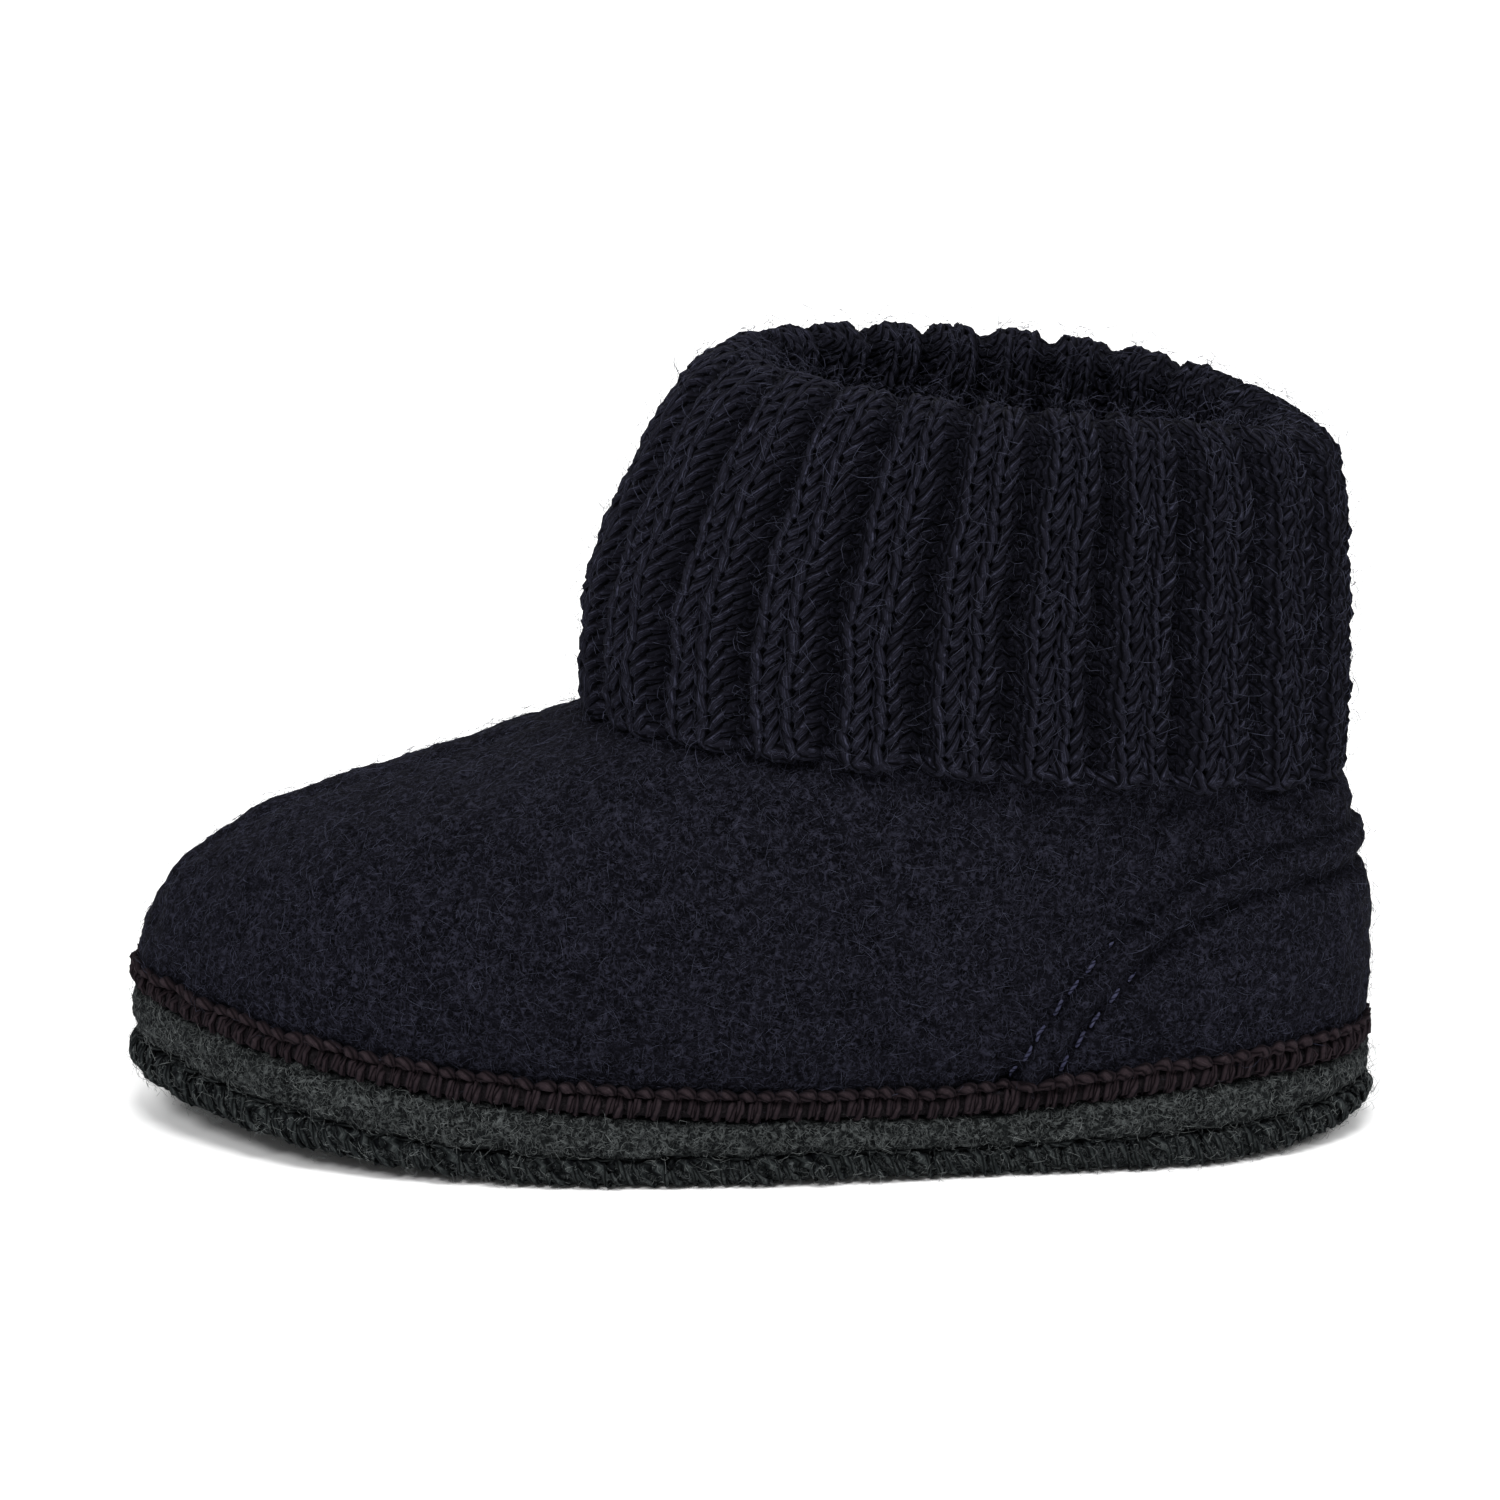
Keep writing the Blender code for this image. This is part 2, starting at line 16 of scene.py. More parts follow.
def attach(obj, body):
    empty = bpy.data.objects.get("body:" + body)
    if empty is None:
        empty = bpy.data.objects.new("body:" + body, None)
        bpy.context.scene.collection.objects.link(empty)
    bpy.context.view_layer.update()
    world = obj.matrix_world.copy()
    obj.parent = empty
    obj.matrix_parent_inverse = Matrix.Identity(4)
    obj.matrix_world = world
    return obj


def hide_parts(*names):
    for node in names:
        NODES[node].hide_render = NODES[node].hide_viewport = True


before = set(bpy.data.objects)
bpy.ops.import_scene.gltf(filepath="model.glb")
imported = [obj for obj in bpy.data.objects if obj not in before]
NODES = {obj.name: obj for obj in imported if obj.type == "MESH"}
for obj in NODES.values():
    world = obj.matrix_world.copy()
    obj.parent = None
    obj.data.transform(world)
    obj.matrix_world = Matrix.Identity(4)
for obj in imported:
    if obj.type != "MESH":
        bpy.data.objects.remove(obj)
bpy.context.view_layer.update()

# Sole
LENGTH = 0.1908
BALL_WIDTH = 0.0755
HEEL_WIDTH = 0.0570
TOE_SWING = 0.0040
TOE_SPRING = 0.0065
HEEL_SPRING = 0.0030
ARCH_LIFT = 0.0006
OUTSOLE_EDGE = 0.0043
MIDSOLE_EDGE = 0.0053
BAND_HEIGHT = 0.0037
END_ROUNDNESS = 0.90
BALL_STARTS = 0.37
BALL_ENDS = 0.47
HEEL_STARTS = 0.68
HEEL_ENDS = 0.84
OUTLINE = (
    # along, outer, inner
    (0.00, 0.400, 0.520),
    (0.10, 0.505, 0.580),
    (0.20, 0.522, 0.570),
    (0.30, 0.510, 0.544),
    (0.45, 0.503, 0.462),
    (0.60, 0.552, 0.458),
    (0.70, 0.574, 0.512),
    (0.80, 0.612, 0.600),
    (0.90, 0.660, 0.680),
    (1.00, 0.650, 0.660),
)
EDGE = (
    # along, outsole, midsole
    (0.00, 1.50, 1.50),
    (0.10, 1.32, 1.52),
    (0.20, 1.15, 1.54),
    (0.30, 1.05, 1.46),
    (0.45, 1.00, 1.20),
    (0.60, 1.00, 1.00),
    (0.70, 1.05, 1.05),
    (0.80, 1.18, 1.27),
    (0.90, 1.28, 1.40),
    (1.00, 1.20, 1.02),
)

# Collar and cuff
INSTEP_HEIGHT = 0.0655
BACK_HEIGHT = 0.0565
NECK_HEIGHT = 0.0090
COLLAR_LENGTH = 0.1078
COLLAR_WIDTH = 0.0630
COLLAR_SETBACK = 0.0089
RIBS = 22
RIB_DRIFT = 0.012
RIB_TURN = 0.016
KNIT_WALL = 0.0045
CUFF_FRONT = 0.0562
CUFF_BACK = 0.0536
FRONT_LEAN = 0.0190
BACK_LEAN = 0.0046
SIDE_LEAN = 0.0022
CUFF_LEAN = (
    # up, share of the lean
    (0.00, 0.00),
    (0.22, 0.02),
    (0.43, 0.15),
    (0.65, 0.48),
    (0.83, 0.78),
    (0.95, 0.97),
    (1.00, 1.00),
)
CUFF_PATH = (
    # along the cloth, up, deep, the last rows measured up from the collar seam
    (0.000, 0.00, 0.98),
    (0.110, 0.22, 1.05),
    (0.215, 0.43, 1.16),
    (0.325, 0.65, 1.36),
    (0.415, 0.83, 1.50),
    (0.480, 0.95, 1.15),
    (0.525, 1.00, 0.00),
    (0.570, 0.95, -1.10),
    (0.630, 0.84, -1.42),
    (0.730, 0.62, -1.25),
    (0.840, 0.38, -1.10),
    (1.000, 0.00, -1.00),
)
FOLD_AT = 0.525

# Heel counter
COUNTER_LENGTH = 0.0540
COUNTER_HEIGHT = 0.0325
CHANNEL_WIDTH = 0.0064
CHANNEL_SWELL = 0.0007
STITCH_ROWS = (0.15, 1.15)  # below the counter's top edge, in channel widths
STITCH_PITCH = 0.0042
STITCH_LENGTH = 0.0030
STITCH_RADIUS = 0.00034
STITCH_DIP = 0.0008
TROUGH_WIDTH = 0.0012
TROUGH_DEPTH = 0.0012
ABOVE_SEAM = 0.0008  # where the rows stop above the overlocked seam

# Knit, in metres on the flat cloth
RIB_PITCH = 0.0140
ROW_PITCH = 0.00266
ROWS = 41
YARN_RADIUS = 0.00098
YARN_FLATNESS = 0.95
RIB_DROP = 0.0030
KNIT_SINK = 0.0012
BACKING_SINK = 0.0049
WALES = (
    # starts at and width, as shares of the rib, and side (1 knit, -1 purl)
    (0.00, 0.36, 1),
    (0.36, 0.36, 1),
    (0.72, 0.14, -1),
    (0.86, 0.14, -1),
)
RIB_CENTRE = 0.36
RIB_FLANK = 0.30  # half of a rib's raised part, as a share of the rib
PURL_HEIGHT = 0.8
YARN_TWISTS = 12
HEM_RADIUS = 0.00125
HEM_WAVE = 0.00035
BACKING_WALL = 0.0006
BACKING_ROWS = 32
LOOP = (
    # along the yarn, across the stitch, up in rows, out in mm for a knit and for a purl stitch, thickness
    (0.00, 0.00, -0.92, -1.10, 0.45, 0.80),
    (0.13, 0.27, -0.98, -0.65, 0.45, 0.82),
    (0.25, 0.42, -0.70, 0.05, 0.20, 0.92),
    (0.40, 0.34, -0.30, 0.50, -0.20, 1.00),
    (0.57, 0.23, 0.14, 0.44, -0.55, 1.02),
    (0.73, 0.12, 0.56, -0.05, -0.35, 0.94),
    (0.86, 0.19, 0.92, -0.75, 0.40, 0.82),
    (1.00, 0.50, 1.06, -1.10, 0.60, 0.80),
)
KNIT_STRIPS = {
    # piece: first row, rows, samples along a stitch, sides of the yarn, how far painted shade darkens its
    # hollows
    "cuff_knit_lower": (0, 12, 12, 6, 1.0),
    "cuff_knit_upper": (12, 12, 12, 6, 1.0),
    "cuff_knit_inside": (24, 16, 8, 4, 0.1),
}
HAIRY_ROWS = 32

# Felt skins: face size, distance off the solid, smoothing passes, calm height, lumps (size, height)
FELT_SKINS = {
    "upper_felt": (0.00112, 0.0003, 3, 0.0, ((0.0120, 0.00050), (0.0045, 0.00055), (0.0020, 0.00042))),
    "seam_core": (0.0007, -0.00015, 2, 0.0, ()),
    "midsole_felt": (0.00125, 0.0001, 2, 0.0, ((0.0050, 0.0004), (0.0022, 0.0007), (0.0011, 0.0004))),
    "outsole_felt": (0.00125, 0.0, 2, 0.0020, ((0.0050, 0.0003), (0.0022, 0.0004))),
    "insole_felt": (0.0015, 0.0, 2, 0.0, ((0.0060, 0.0003),)),
}

# Loose fibres: count, length, radius, lift and curl as shares of the length, random seed
LOOSE_FIBRES = {
    "cuff_fibres": (8500, 0.0028, 0.000044, 0.42, 1.5, 11),
    "upper_fibres": (9500, 0.0026, 0.000036, 0.24, 1.9, 5),
    "midsole_fibres": (4500, 0.0017, 0.000034, 0.30, 1.8, 21),
    "outsole_fibres": (2500, 0.0017, 0.000034, 0.30, 1.8, 23),
}
LONGEST_FIBRE = 2.4  # times the usual length
STEEPEST_FIBRE = 1.3
OVER_STITCHES = 0.0006  # how far the outsole's fibres start above its felt

# Overlocked seam, a plump head along the top and two strands below it in each stitch
OVERLOCK_PITCH = 0.0030
OVERLOCK_RADIUS = 0.00060
HEAD_SWELL = 0.00036
HEAD_AT = 0.22
OVERLOCK = (
    # along the yarn, across in pitches, up in band heights, out in mm
    (0.00, -0.16, 1.02, 0.30),
    (0.10, 0.02, 1.20, 0.85),
    (0.22, 0.40, 1.28, 1.10),
    (0.34, 0.70, 1.12, 0.80),
    (0.42, 0.62, 0.92, 0.62),
    (0.54, 0.46, 0.10, 0.35),
    (0.62, 0.62, -0.10, 0.05),
    (0.70, 0.80, 0.10, 0.35),
    (0.84, 0.96, 0.92, 0.62),
    (1.00, 0.84, 1.02, 0.30),
)
TIP_LOWERING = 0.22
TIP_SINK = 0.0004

# Stitches of the sole
WHIP_PITCH = 0.0022
WHIP_SLANT = 0.0030
WHIP_RADIUS = 0.00056
WHIP_BULGE = 0.00045
GROOVE_PITCH = 0.0050
GROOVE_RADIUS = 0.00045
GROOVE_SINK = 0.0006
GROOVE_BULGE = 0.0010

FLOOR_GAP = 0.0002
MERGE_GAP = 0.00001
MM = 0.001

CAMERA_LENS = 150.0
CAMERA_SENSOR = 36.0
CAMERA_DISTANCE = 0.953
CAMERA_ELEVATION = 15.0
CAMERA_TARGET = (0.0, 0.0, 0.0583)
WORLD_LIGHT = 0.38
FLOOR_PALE = 0.97
FLOOR_HALF_WIDTH = 4.0
LIGHTS = (
    # name, place, size, watts, aimed at
    ("key", (-1.1, -1.8, 2.0), (0.8, 0.8), 38.0, (0.0, 0.0, 0.05)),
    ("fill", (1.5, -1.5, 2.0), (1.0, 1.0), 34.0, (0.0, 0.0, 0.05)),
    ("overhead", (0.1, -1.2, 2.5), (1.0, 0.8), 38.0, (0.0, 0.0, 0.05)),
    ("wash", (0.0, 2.4, 1.9), (3.0, 0.8), 60.0, (0.0, 2.0, 0.0)),
)


def smooth_step(value):
    share = np.clip(value, 0.0, 1.0)
    return share * share * (3 - 2 * share)


def unit_rows(rows):
    return rows / np.linalg.norm(rows, axis=1)[:, None]


def run_along(points):
    """Distances along a line of points from its first."""
    return np.concatenate([[0], np.cumsum(np.linalg.norm(np.diff(points, axis=0), axis=1))])


def read_at(run, table, at):
    """Every column of a table that follows a line, read at distances along it."""
    return np.column_stack([np.interp(at, run, column) for column in table.T])


def waves(at, *each):
    """A sum of small waves, each a height and how fast it turns."""
    return sum(height * np.sin(at * rate) for height, rate in each)


def through(table, column, at):
    """A smooth curve through one column of a table, read at shares of its first column."""
    rows = np.array(table, float)
    x, y = rows[:, 0], rows[:, column]
    slope = np.gradient(y, x)
    at = np.clip(np.asarray(at, float), x[0], x[-1])
    i = np.clip(np.searchsorted(x, at, side="right") - 1, 0, len(x) - 2)
    width = x[i + 1] - x[i]
    t = (at - x[i]) / width
    start = (2 * t**3 - 3 * t**2 + 1) * y[i] + (t**3 - 2 * t**2 + t) * width * slope[i]
    end = (3 * t**2 - 2 * t**3) * y[i + 1] + (t**3 - t**2) * width * slope[i + 1]
    return start + end


def along(x):
    return np.clip(np.asarray(x) / LENGTH + 0.5, 0.0, 1.0)


def sole_outline(angle):
    """Points of the sole's outline. The angle is 0 at the toe tip and pi at the heel by the outer side."""
    share = (1 - np.cos(angle)) / 2
    width = BALL_WIDTH + (HEEL_WIDTH - BALL_WIDTH) * smooth_step((share - 0.35) / 0.40)
    round_end = np.abs(np.sin(angle)) ** END_ROUNDNESS
    outer = -through(OUTLINE, 1, share) * width * round_end
    inner = through(OUTLINE, 2, share) * width * round_end
    swing = TOE_SWING * np.clip(1 - share / 0.35, 0, 1) ** 2
    return np.column_stack([(share - 0.5) * LENGTH, np.where(angle >= 0, outer, inner) + swing])


def bottom_z(x):
    share = along(x)
    toe = TOE_SPRING * np.clip(1 - share / BALL_STARTS, 0, 1) ** 1.5
    heel = HEEL_SPRING * np.clip((share - HEEL_ENDS) / (1 - HEEL_ENDS), 0, 1) ** 2
    waist = np.clip((share - BALL_ENDS) / (HEEL_STARTS - BALL_ENDS), 0, 1)
    return toe + heel + ARCH_LIFT * np.sin(math.pi * waist) ** 2


def groove_z(x):
    return bottom_z(x) + OUTSOLE_EDGE * through(EDGE, 1, along(x))


def feather_z(x):
    return groove_z(x) + MIDSOLE_EDGE * through(EDGE, 2, along(x))


def sole_line():
    """Run, points and outward directions round the sole's edge, from the toe by the outer side."""
    angle = np.linspace(0, 2 * math.pi, 1441)
    points = sole_outline(np.where(angle <= math.pi, angle, angle - 2 * math.pi))
    run = run_along(points)
    tangent = np.gradient(points, run, axis=0)
    return run, points, unit_rows(np.column_stack([tangent[:, 1], -tangent[:, 0]]))


EDGE_RUN, EDGE_POINTS, EDGE_OUTWARD = sole_line()
PERIMETER = EDGE_RUN[-1]


def edge_frame(run):
    """Places and outward directions at distances round the sole's edge."""
    run = run % PERIMETER
    return read_at(EDGE_RUN, EDGE_POINTS, run), unit_rows(read_at(EDGE_RUN, EDGE_OUTWARD, run))


def whole_pitch(wanted):
    """How many stitches fit round the sole, and the pitch that fits them evenly."""
    count = int(round(PERIMETER / wanted))
    return count, PERIMETER / count


def onto_sole_edge(flat, base_z, *skins):
    """Lays flat trim on the sole's edge: x runs round it, y upwards and z outwards from the skins."""
    tree = skin_tree(*skins)
    reach = 0.008
    places, outwards = edge_frame(flat[:, 0])
    levels = base_z(places[:, 0]) + flat[:, 1]
    laid = np.empty((len(flat), 3))
    for i, (place, outward, level) in enumerate(zip(places, outwards, levels)):
        away = Vector((*outward, 0.0))
        start = Vector((*place, level)) + away * reach
        spot, normal, _, _ = tree.ray_cast(start, -away, 2 * reach)
        if spot is None:
            spot, normal, _, _ = tree.find_nearest(start - away * (reach + MM))
        up = (away + normal).normalized()
        laid[i] = spot + up * flat[i, 2]
    return laid


def triangle_corners(mesh):
    mesh.calc_loop_triangles()
    corners = np.empty(len(mesh.loop_triangles) * 3, int)
    mesh.loop_triangles.foreach_get("vertices", corners)
    return corners.reshape(-1, 3)


def skin_tree(*skins):
    places, faces = [], []
    for skin in skins:
        faces += (triangle_corners(skin) + len(places)).tolist()
        places += vertex_places(skin).tolist()
    return BVHTree.FromPolygons(places, faces)


def neck_base_z(share):
    back = (1 - np.cos(math.pi * share)) / 2
    return INSTEP_HEIGHT + (BACK_HEIGHT - INSTEP_HEIGHT) * back**2.2


def off_centre(rib):
    """How far places counted in ribs are from the middle of their rib, from -0.5 to 0.5."""
    return (rib - RIB_CENTRE + 0.5) % 1 - 0.5


def fold_z(share):
    back = (1 - np.cos(math.pi * share)) / 2
    front_z = INSTEP_HEIGHT + CUFF_FRONT
    back_z = BACK_HEIGHT + CUFF_BACK
    return front_z + (back_z - front_z) * (0.55 * back + 0.45 * back**6)


def rib_turn(rib):
    """Shares of a half turn from the front for places counted in ribs round the cuff."""
    fine = np.linspace(-1, 1, 2001)
    back = LENGTH / 2 - COLLAR_SETBACK + KNIT_WALL
    front = LENGTH / 2 - COLLAR_SETBACK - COLLAR_LENGTH - KNIT_WALL
    oval_x = (front + back) / 2 - (back - front) / 2 * np.cos(math.pi * fine)
    oval_y = -(COLLAR_WIDTH / 2 + KNIT_WALL) * np.sin(math.pi * fine)
    run = run_along(np.column_stack([oval_x, oval_y]))
    turn = (4 * (np.asarray(rib) - RIB_CENTRE) + 1) / (2 * RIBS) - 1
    turn = (turn + 1) % 2 - 1
    turn = turn + RIB_DRIFT * np.sin(math.pi * turn)
    return np.interp(run[-1] * (turn + 1) / 2, run, fine)


def cuff_level(share, cloth):
    """Height and depth of the cuff's surface at a share of the way along the cloth from its hem."""
    base = np.where(cloth < FOLD_AT, neck_base_z(share), neck_base_z(share) + NECK_HEIGHT)
    height = base + (fold_z(share) - base) * through(CUFF_PATH, 1, cloth)
    return height, KNIT_WALL * through(CUFF_PATH, 2, cloth)


def squared(flat):
    """Turns the stitches of each rib square to it, where the cuff's lean has slanted the ribs."""
    flat = flat.copy()
    step = 0.0005
    here = onto_cuff(flat * [1, 1, 0])
    across = unit_rows(onto_cuff(flat * [1, 1, 0] + [step, 0, 0]) - here)
    up = unit_rows(onto_cuff(flat * [1, 1, 0] + [0, step, 0]) - here)
    slant = np.clip((across * up).sum(axis=1), -0.6, 0.6)
    within = np.interp(off_centre(flat[:, 0] / RIB_PITCH), (-0.5, -0.35, 0.35, 0.5), (0, -0.35, 0.35, 0))
    flat[:, 1] -= within * RIB_PITCH * slant / np.sqrt(1 - slant**2)
    return flat


def onto_cuff(flat):
    """Lays flat cloth on the cuff: x runs round it in ribs, y up it in rows and z outwards."""
    share = rib_turn(flat[:, 0] / RIB_PITCH)
    cloth = np.clip(flat[:, 1] / (ROWS * ROW_PITCH), 0.0, 1.0)
    below = flat[:, 1] - cloth * ROWS * ROW_PITCH
    height, depth = cuff_level(share, cloth)
    before, after = cuff_level(share, cloth - 0.008), cuff_level(share, cloth + 0.008)
    rise, spread = after[0] - before[0], after[1] - before[1]
    steep = np.hypot(rise, spread)
    height = height - flat[:, 2] * spread / steep + below
    depth = depth + flat[:, 2] * rise / steep
    fold, hem = fold_z(share), neck_base_z(share)
    lean = through(CUFF_LEAN, 1, (height - hem) / (fold - hem))
    front = LENGTH / 2 - COLLAR_SETBACK - COLLAR_LENGTH + FRONT_LEAN * lean - depth
    back = LENGTH / 2 - COLLAR_SETBACK - BACK_LEAN * lean + depth
    half_width = COLLAR_WIDTH / 2 - SIDE_LEAN * lean + depth
    angle = math.pi * (share - RIB_TURN * lean * np.sin(math.pi * share))
    x = (front + back) / 2 - (back - front) / 2 * np.cos(angle)
    return np.column_stack([x, -half_width * np.sin(angle), height])


def vertex_places(mesh):
    places = np.empty(len(mesh.vertices) * 3)
    mesh.vertices.foreach_get("co", places)
    return places.reshape(-1, 3)


def vertex_normals(mesh):
    normals = np.empty(len(mesh.vertices) * 3)
    mesh.vertices.foreach_get("normal", normals)
    return normals.reshape(-1, 3)


def move_vertices(mesh, places):
    mesh.vertices.foreach_set("co", places.ravel())
    mesh.update()


def link(name, mesh):
    obj = bpy.data.objects.new(name, mesh)
    bpy.context.scene.collection.objects.link(obj)
    return obj


def applied(obj, name):
    """The object's mesh with its modifiers applied, under a new name. The object is removed."""
    graph = bpy.context.evaluated_depsgraph_get()
    mesh = bpy.data.meshes.new_from_object(obj.evaluated_get(graph))
    mesh.name = name
    bpy.data.objects.remove(obj)
    return mesh


def finished(name, mesh, material, stands_for=()):
    """Puts a finished mesh into the scene as a piece of the slipper."""
    mesh.materials.clear()
    mesh.materials.append(material)
    mesh.shade_smooth()
    obj = link(name, mesh)
    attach(obj, "root")
    if stands_for:
        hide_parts(*stands_for)
    return obj


def yarn_tube(points, radius, sides, twists, flatness=1.0, capped=False):
    """A yarn along points, with its length in twists and its way round as UV."""
    points = np.asarray(points, float)
    thickness = np.broadcast_to(radius, len(points))
    tangents = np.gradient(points, axis=0)
    if np.allclose(points[-1, 1:], points[0, 1:]):
        tangents[0] = tangents[-1] = (points[1] - points[0]) + (points[-1] - points[-2])
    bm = bmesh.new()
    uv = bm.loops.layers.uv.new("yarn")
    place = {}
    placed = None
    for index, (point, tangent, scale) in enumerate(zip(points, tangents, thickness)):
        forward = Vector(tangent).normalized()
        side = forward.cross(Vector((0, 0, 1))).normalized()
        up = side.cross(forward)
        turn = Matrix((side, up, forward)).transposed().to_4x4()
        size = Matrix.Diagonal((scale, scale * flatness, scale, 1))
        here = Matrix.Translation(Vector(point)) @ turn @ size
        if placed is None:
            ring = bmesh.ops.create_circle(bm, segments=sides, radius=1.0)["verts"]
            edges = list(bm.edges)
            bmesh.ops.transform(bm, matrix=here, verts=ring)
        else:
            old = ring
            grown = bmesh.ops.extrude_edge_only(bm, edges=edges)["geom"]
            ring = [item for item in grown if isinstance(item, bmesh.types.BMVert)]
            ring = [min(ring, key=lambda v, o=o: (v.co - o.co).length) for o in old]
            edges = [item for item in grown if isinstance(item, bmesh.types.BMEdge)]
            edges = [edge for edge in edges if edge.verts[0] in ring and edge.verts[1] in ring]
            bmesh.ops.transform(bm, matrix=here @ placed.inverted(), verts=ring)
        for step, vertex in enumerate(ring):
            place[vertex] = (index, step)
        placed = here
    if capped:
        bmesh.ops.holes_fill(bm, edges=bm.edges, sides=sides)
    for face in bm.faces:
        steps = [place[loop.vert][1] for loop in face.loops]
        for loop, step in zip(face.loops, steps):
            wraps = step == 0 and max(steps) == sides - 1
            along_yarn = place[loop.vert][0] / (len(points) - 1)
            loop[uv].uv = (along_yarn * twists, (sides if wraps else step) / sides)
    turn_outwards(bm, (points[0] + points[1]) / 2)
    return bm


def turn_outwards(bm, middle):
    """Makes the faces agree, and their normals point away from the middle of the first ring."""
    bmesh.ops.recalc_face_normals(bm, faces=bm.faces)
    bm.faces.ensure_lookup_table()
    first = bm.faces[0]
    if first.normal.dot(first.calc_center_median() - Vector(middle)) < 0:
        bmesh.ops.reverse_faces(bm, faces=bm.faces)


def as_mesh(bm, name):
    mesh = bpy.data.meshes.new(name)
    bm.to_mesh(mesh)
    bm.free()
    return mesh


def tiled(name, bm, counts, steps, joined=True):
    """A unit repeated along x and y on flat ground."""
    obj = link(name, as_mesh(bm, name))
    for axis, (count, step) in enumerate(zip(counts, steps)):
        row = obj.modifiers.new("row", "ARRAY")
        row.use_relative_offset = False
        row.use_constant_offset = True
        row.constant_offset_displace = [step if i == axis else 0.0 for i in range(3)]
        row.count = count
        row.use_merge_vertices = joined and axis == 0
        row.merge_threshold = MERGE_GAP
    return applied(obj, name)


def closed_up(mesh):
    """Joins the ends that meet."""
    bm = bmesh.new()
    bm.from_mesh(mesh)
    bmesh.ops.remove_doubles(bm, verts=bm.verts, dist=MERGE_GAP)
    bm.to_mesh(mesh)
    bm.free()
    return mesh


def set_painted_shade(mesh, depth):
    """Painted shade: says how deep each vertex is sunk, from 0 to 1, for the materials to darken it there
    as shade.
    """
    layer = mesh.attributes.new("depth", "FLOAT", "POINT")
    layer.data.foreach_set("value", np.clip(depth, 0, 1))


def group_with(name, inputs):
    """An empty shader group with these inputs, and its input node's sockets."""
    group = bpy.data.node_groups.new(name, "ShaderNodeTree")
    for label, value in inputs.items():
        made = group.interface.new_socket(label, in_out="INPUT", socket_type="NodeSocketFloat")
        made.default_value = value
    return group, group.nodes.new("NodeGroupInput").outputs


def put_out(group, outputs):
    """Gives a group an output socket for each named value."""
    for label in outputs:
        group.interface.new_socket(label, in_out="OUTPUT", socket_type="NodeSocketFloat")
    out = group.nodes.new("NodeGroupOutput")
    for label, value in outputs.items():
        group.links.new(value, out.inputs[label])


def feed(tree, socket, value):
    """Gives a socket a number, a colour or another node's output."""
    if isinstance(value, (int, float)):
        socket.default_value = value
    elif isinstance(value, tuple):
        socket.default_value = (*value, 1.0)
    else:
        tree.links.new(value, socket)


def math_node(tree, operation, *values):
    node = tree.nodes.new("ShaderNodeMath")
    node.operation = operation
    for socket, value in zip(node.inputs, values):
        feed(tree, socket, value)
    return node.outputs[0]


def times(tree, first, second):
    return math_node(tree, "MULTIPLY", first, second)


def noise_node(tree, vector, scale, detail, distortion=0.0):
    node = tree.nodes.new("ShaderNodeTexNoise")
    node.inputs["Detail"].default_value = detail
    node.inputs["Distortion"].default_value = distortion
    feed(tree, node.inputs["Scale"], scale)
    tree.links.new(vector, node.inputs["Vector"])
    return node.outputs["Fac"]


def mixed(tree, share, dark, light):
    node = tree.nodes.new("ShaderNodeMix")
    node.data_type = "RGBA"
    tree.links.new(share, node.inputs["Factor"])
    feed(tree, node.inputs["A"], dark)
    feed(tree, node.inputs["B"], light)
    return node.outputs["Result"]


def ramp(tree, value, low, high, start=0.0, end=1.0, kind="LINEAR"):
    node = tree.nodes.new("ShaderNodeMapRange")
    node.interpolation_type = kind
    for label, level in (("From Min", low), ("From Max", high), ("To Min", start), ("To Max", end)):
        node.inputs[label].default_value = level
    tree.links.new(value, node.inputs["Value"])
    return node.outputs["Result"]


def strands(tree, vector, scale, width):
    """Thin curly lines, as loose fibres make: bright along them and dark between."""
    field = noise_node(tree, vector, scale, 1.5, 1.2)
    off = math_node(tree, "ABSOLUTE", math_node(tree, "SUBTRACT", field, 0.5))
    return ramp(tree, off, 0.0, width, 1.0, 0.0, "SMOOTHSTEP")


def moved(tree, vector, shift, stretch):
    node = tree.nodes.new("ShaderNodeMapping")
    node.inputs["Location"].default_value = shift
    node.inputs["Scale"].default_value = stretch
    tree.links.new(vector, node.inputs["Vector"])
    return node.outputs["Vector"]


def wool_nap_group():
    """Matted fibres: curly strands over one another, tufts and a slow unevenness."""
    group, given = group_with("wool nap", {"Fibre Scale": 600.0, "Tuft Scale": 260.0})
    place = group.nodes.new("ShaderNodeTexCoord").outputs["Object"]
    fibre_scale, tuft_scale = given["Fibre Scale"], given["Tuft Scale"]
    upright = moved(group, place, (0.0, 0.0, 0.0), (1.0, 1.0, 0.7))
    lengthwise = moved(group, place, (0.3, 0.1, 0.2), (0.7, 1.0, 1.0))
    crossing = moved(group, place, (0.6, 0.4, 0.9), (1.0, 1.0, 1.0))
    upright = strands(group, upright, fibre_scale, 0.055)
    lengthwise = strands(group, lengthwise, fibre_scale, 0.045)
    crossing = strands(group, crossing, times(group, fibre_scale, 1.6), 0.060)
    coarse = math_node(group, "MAXIMUM", upright, lengthwise)
    every = math_node(group, "MAXIMUM", coarse, times(group, crossing, 0.7))
    broken = noise_node(group, place, times(group, fibre_scale, 1.7), 2.0)
    fibre = times(group, every, ramp(group, broken, 0.32, 0.58))
    tuft = noise_node(group, place, tuft_scale, 3.0, 0.8)
    slow = noise_node(group, place, times(group, tuft_scale, 0.16), 2.0)
    height = math_node(group, "ADD", times(group, fibre, 0.30), tuft)
    put_out(group, {"Fibre": fibre, "Tuft": tuft, "Slow": slow, "Height": height})
    return group


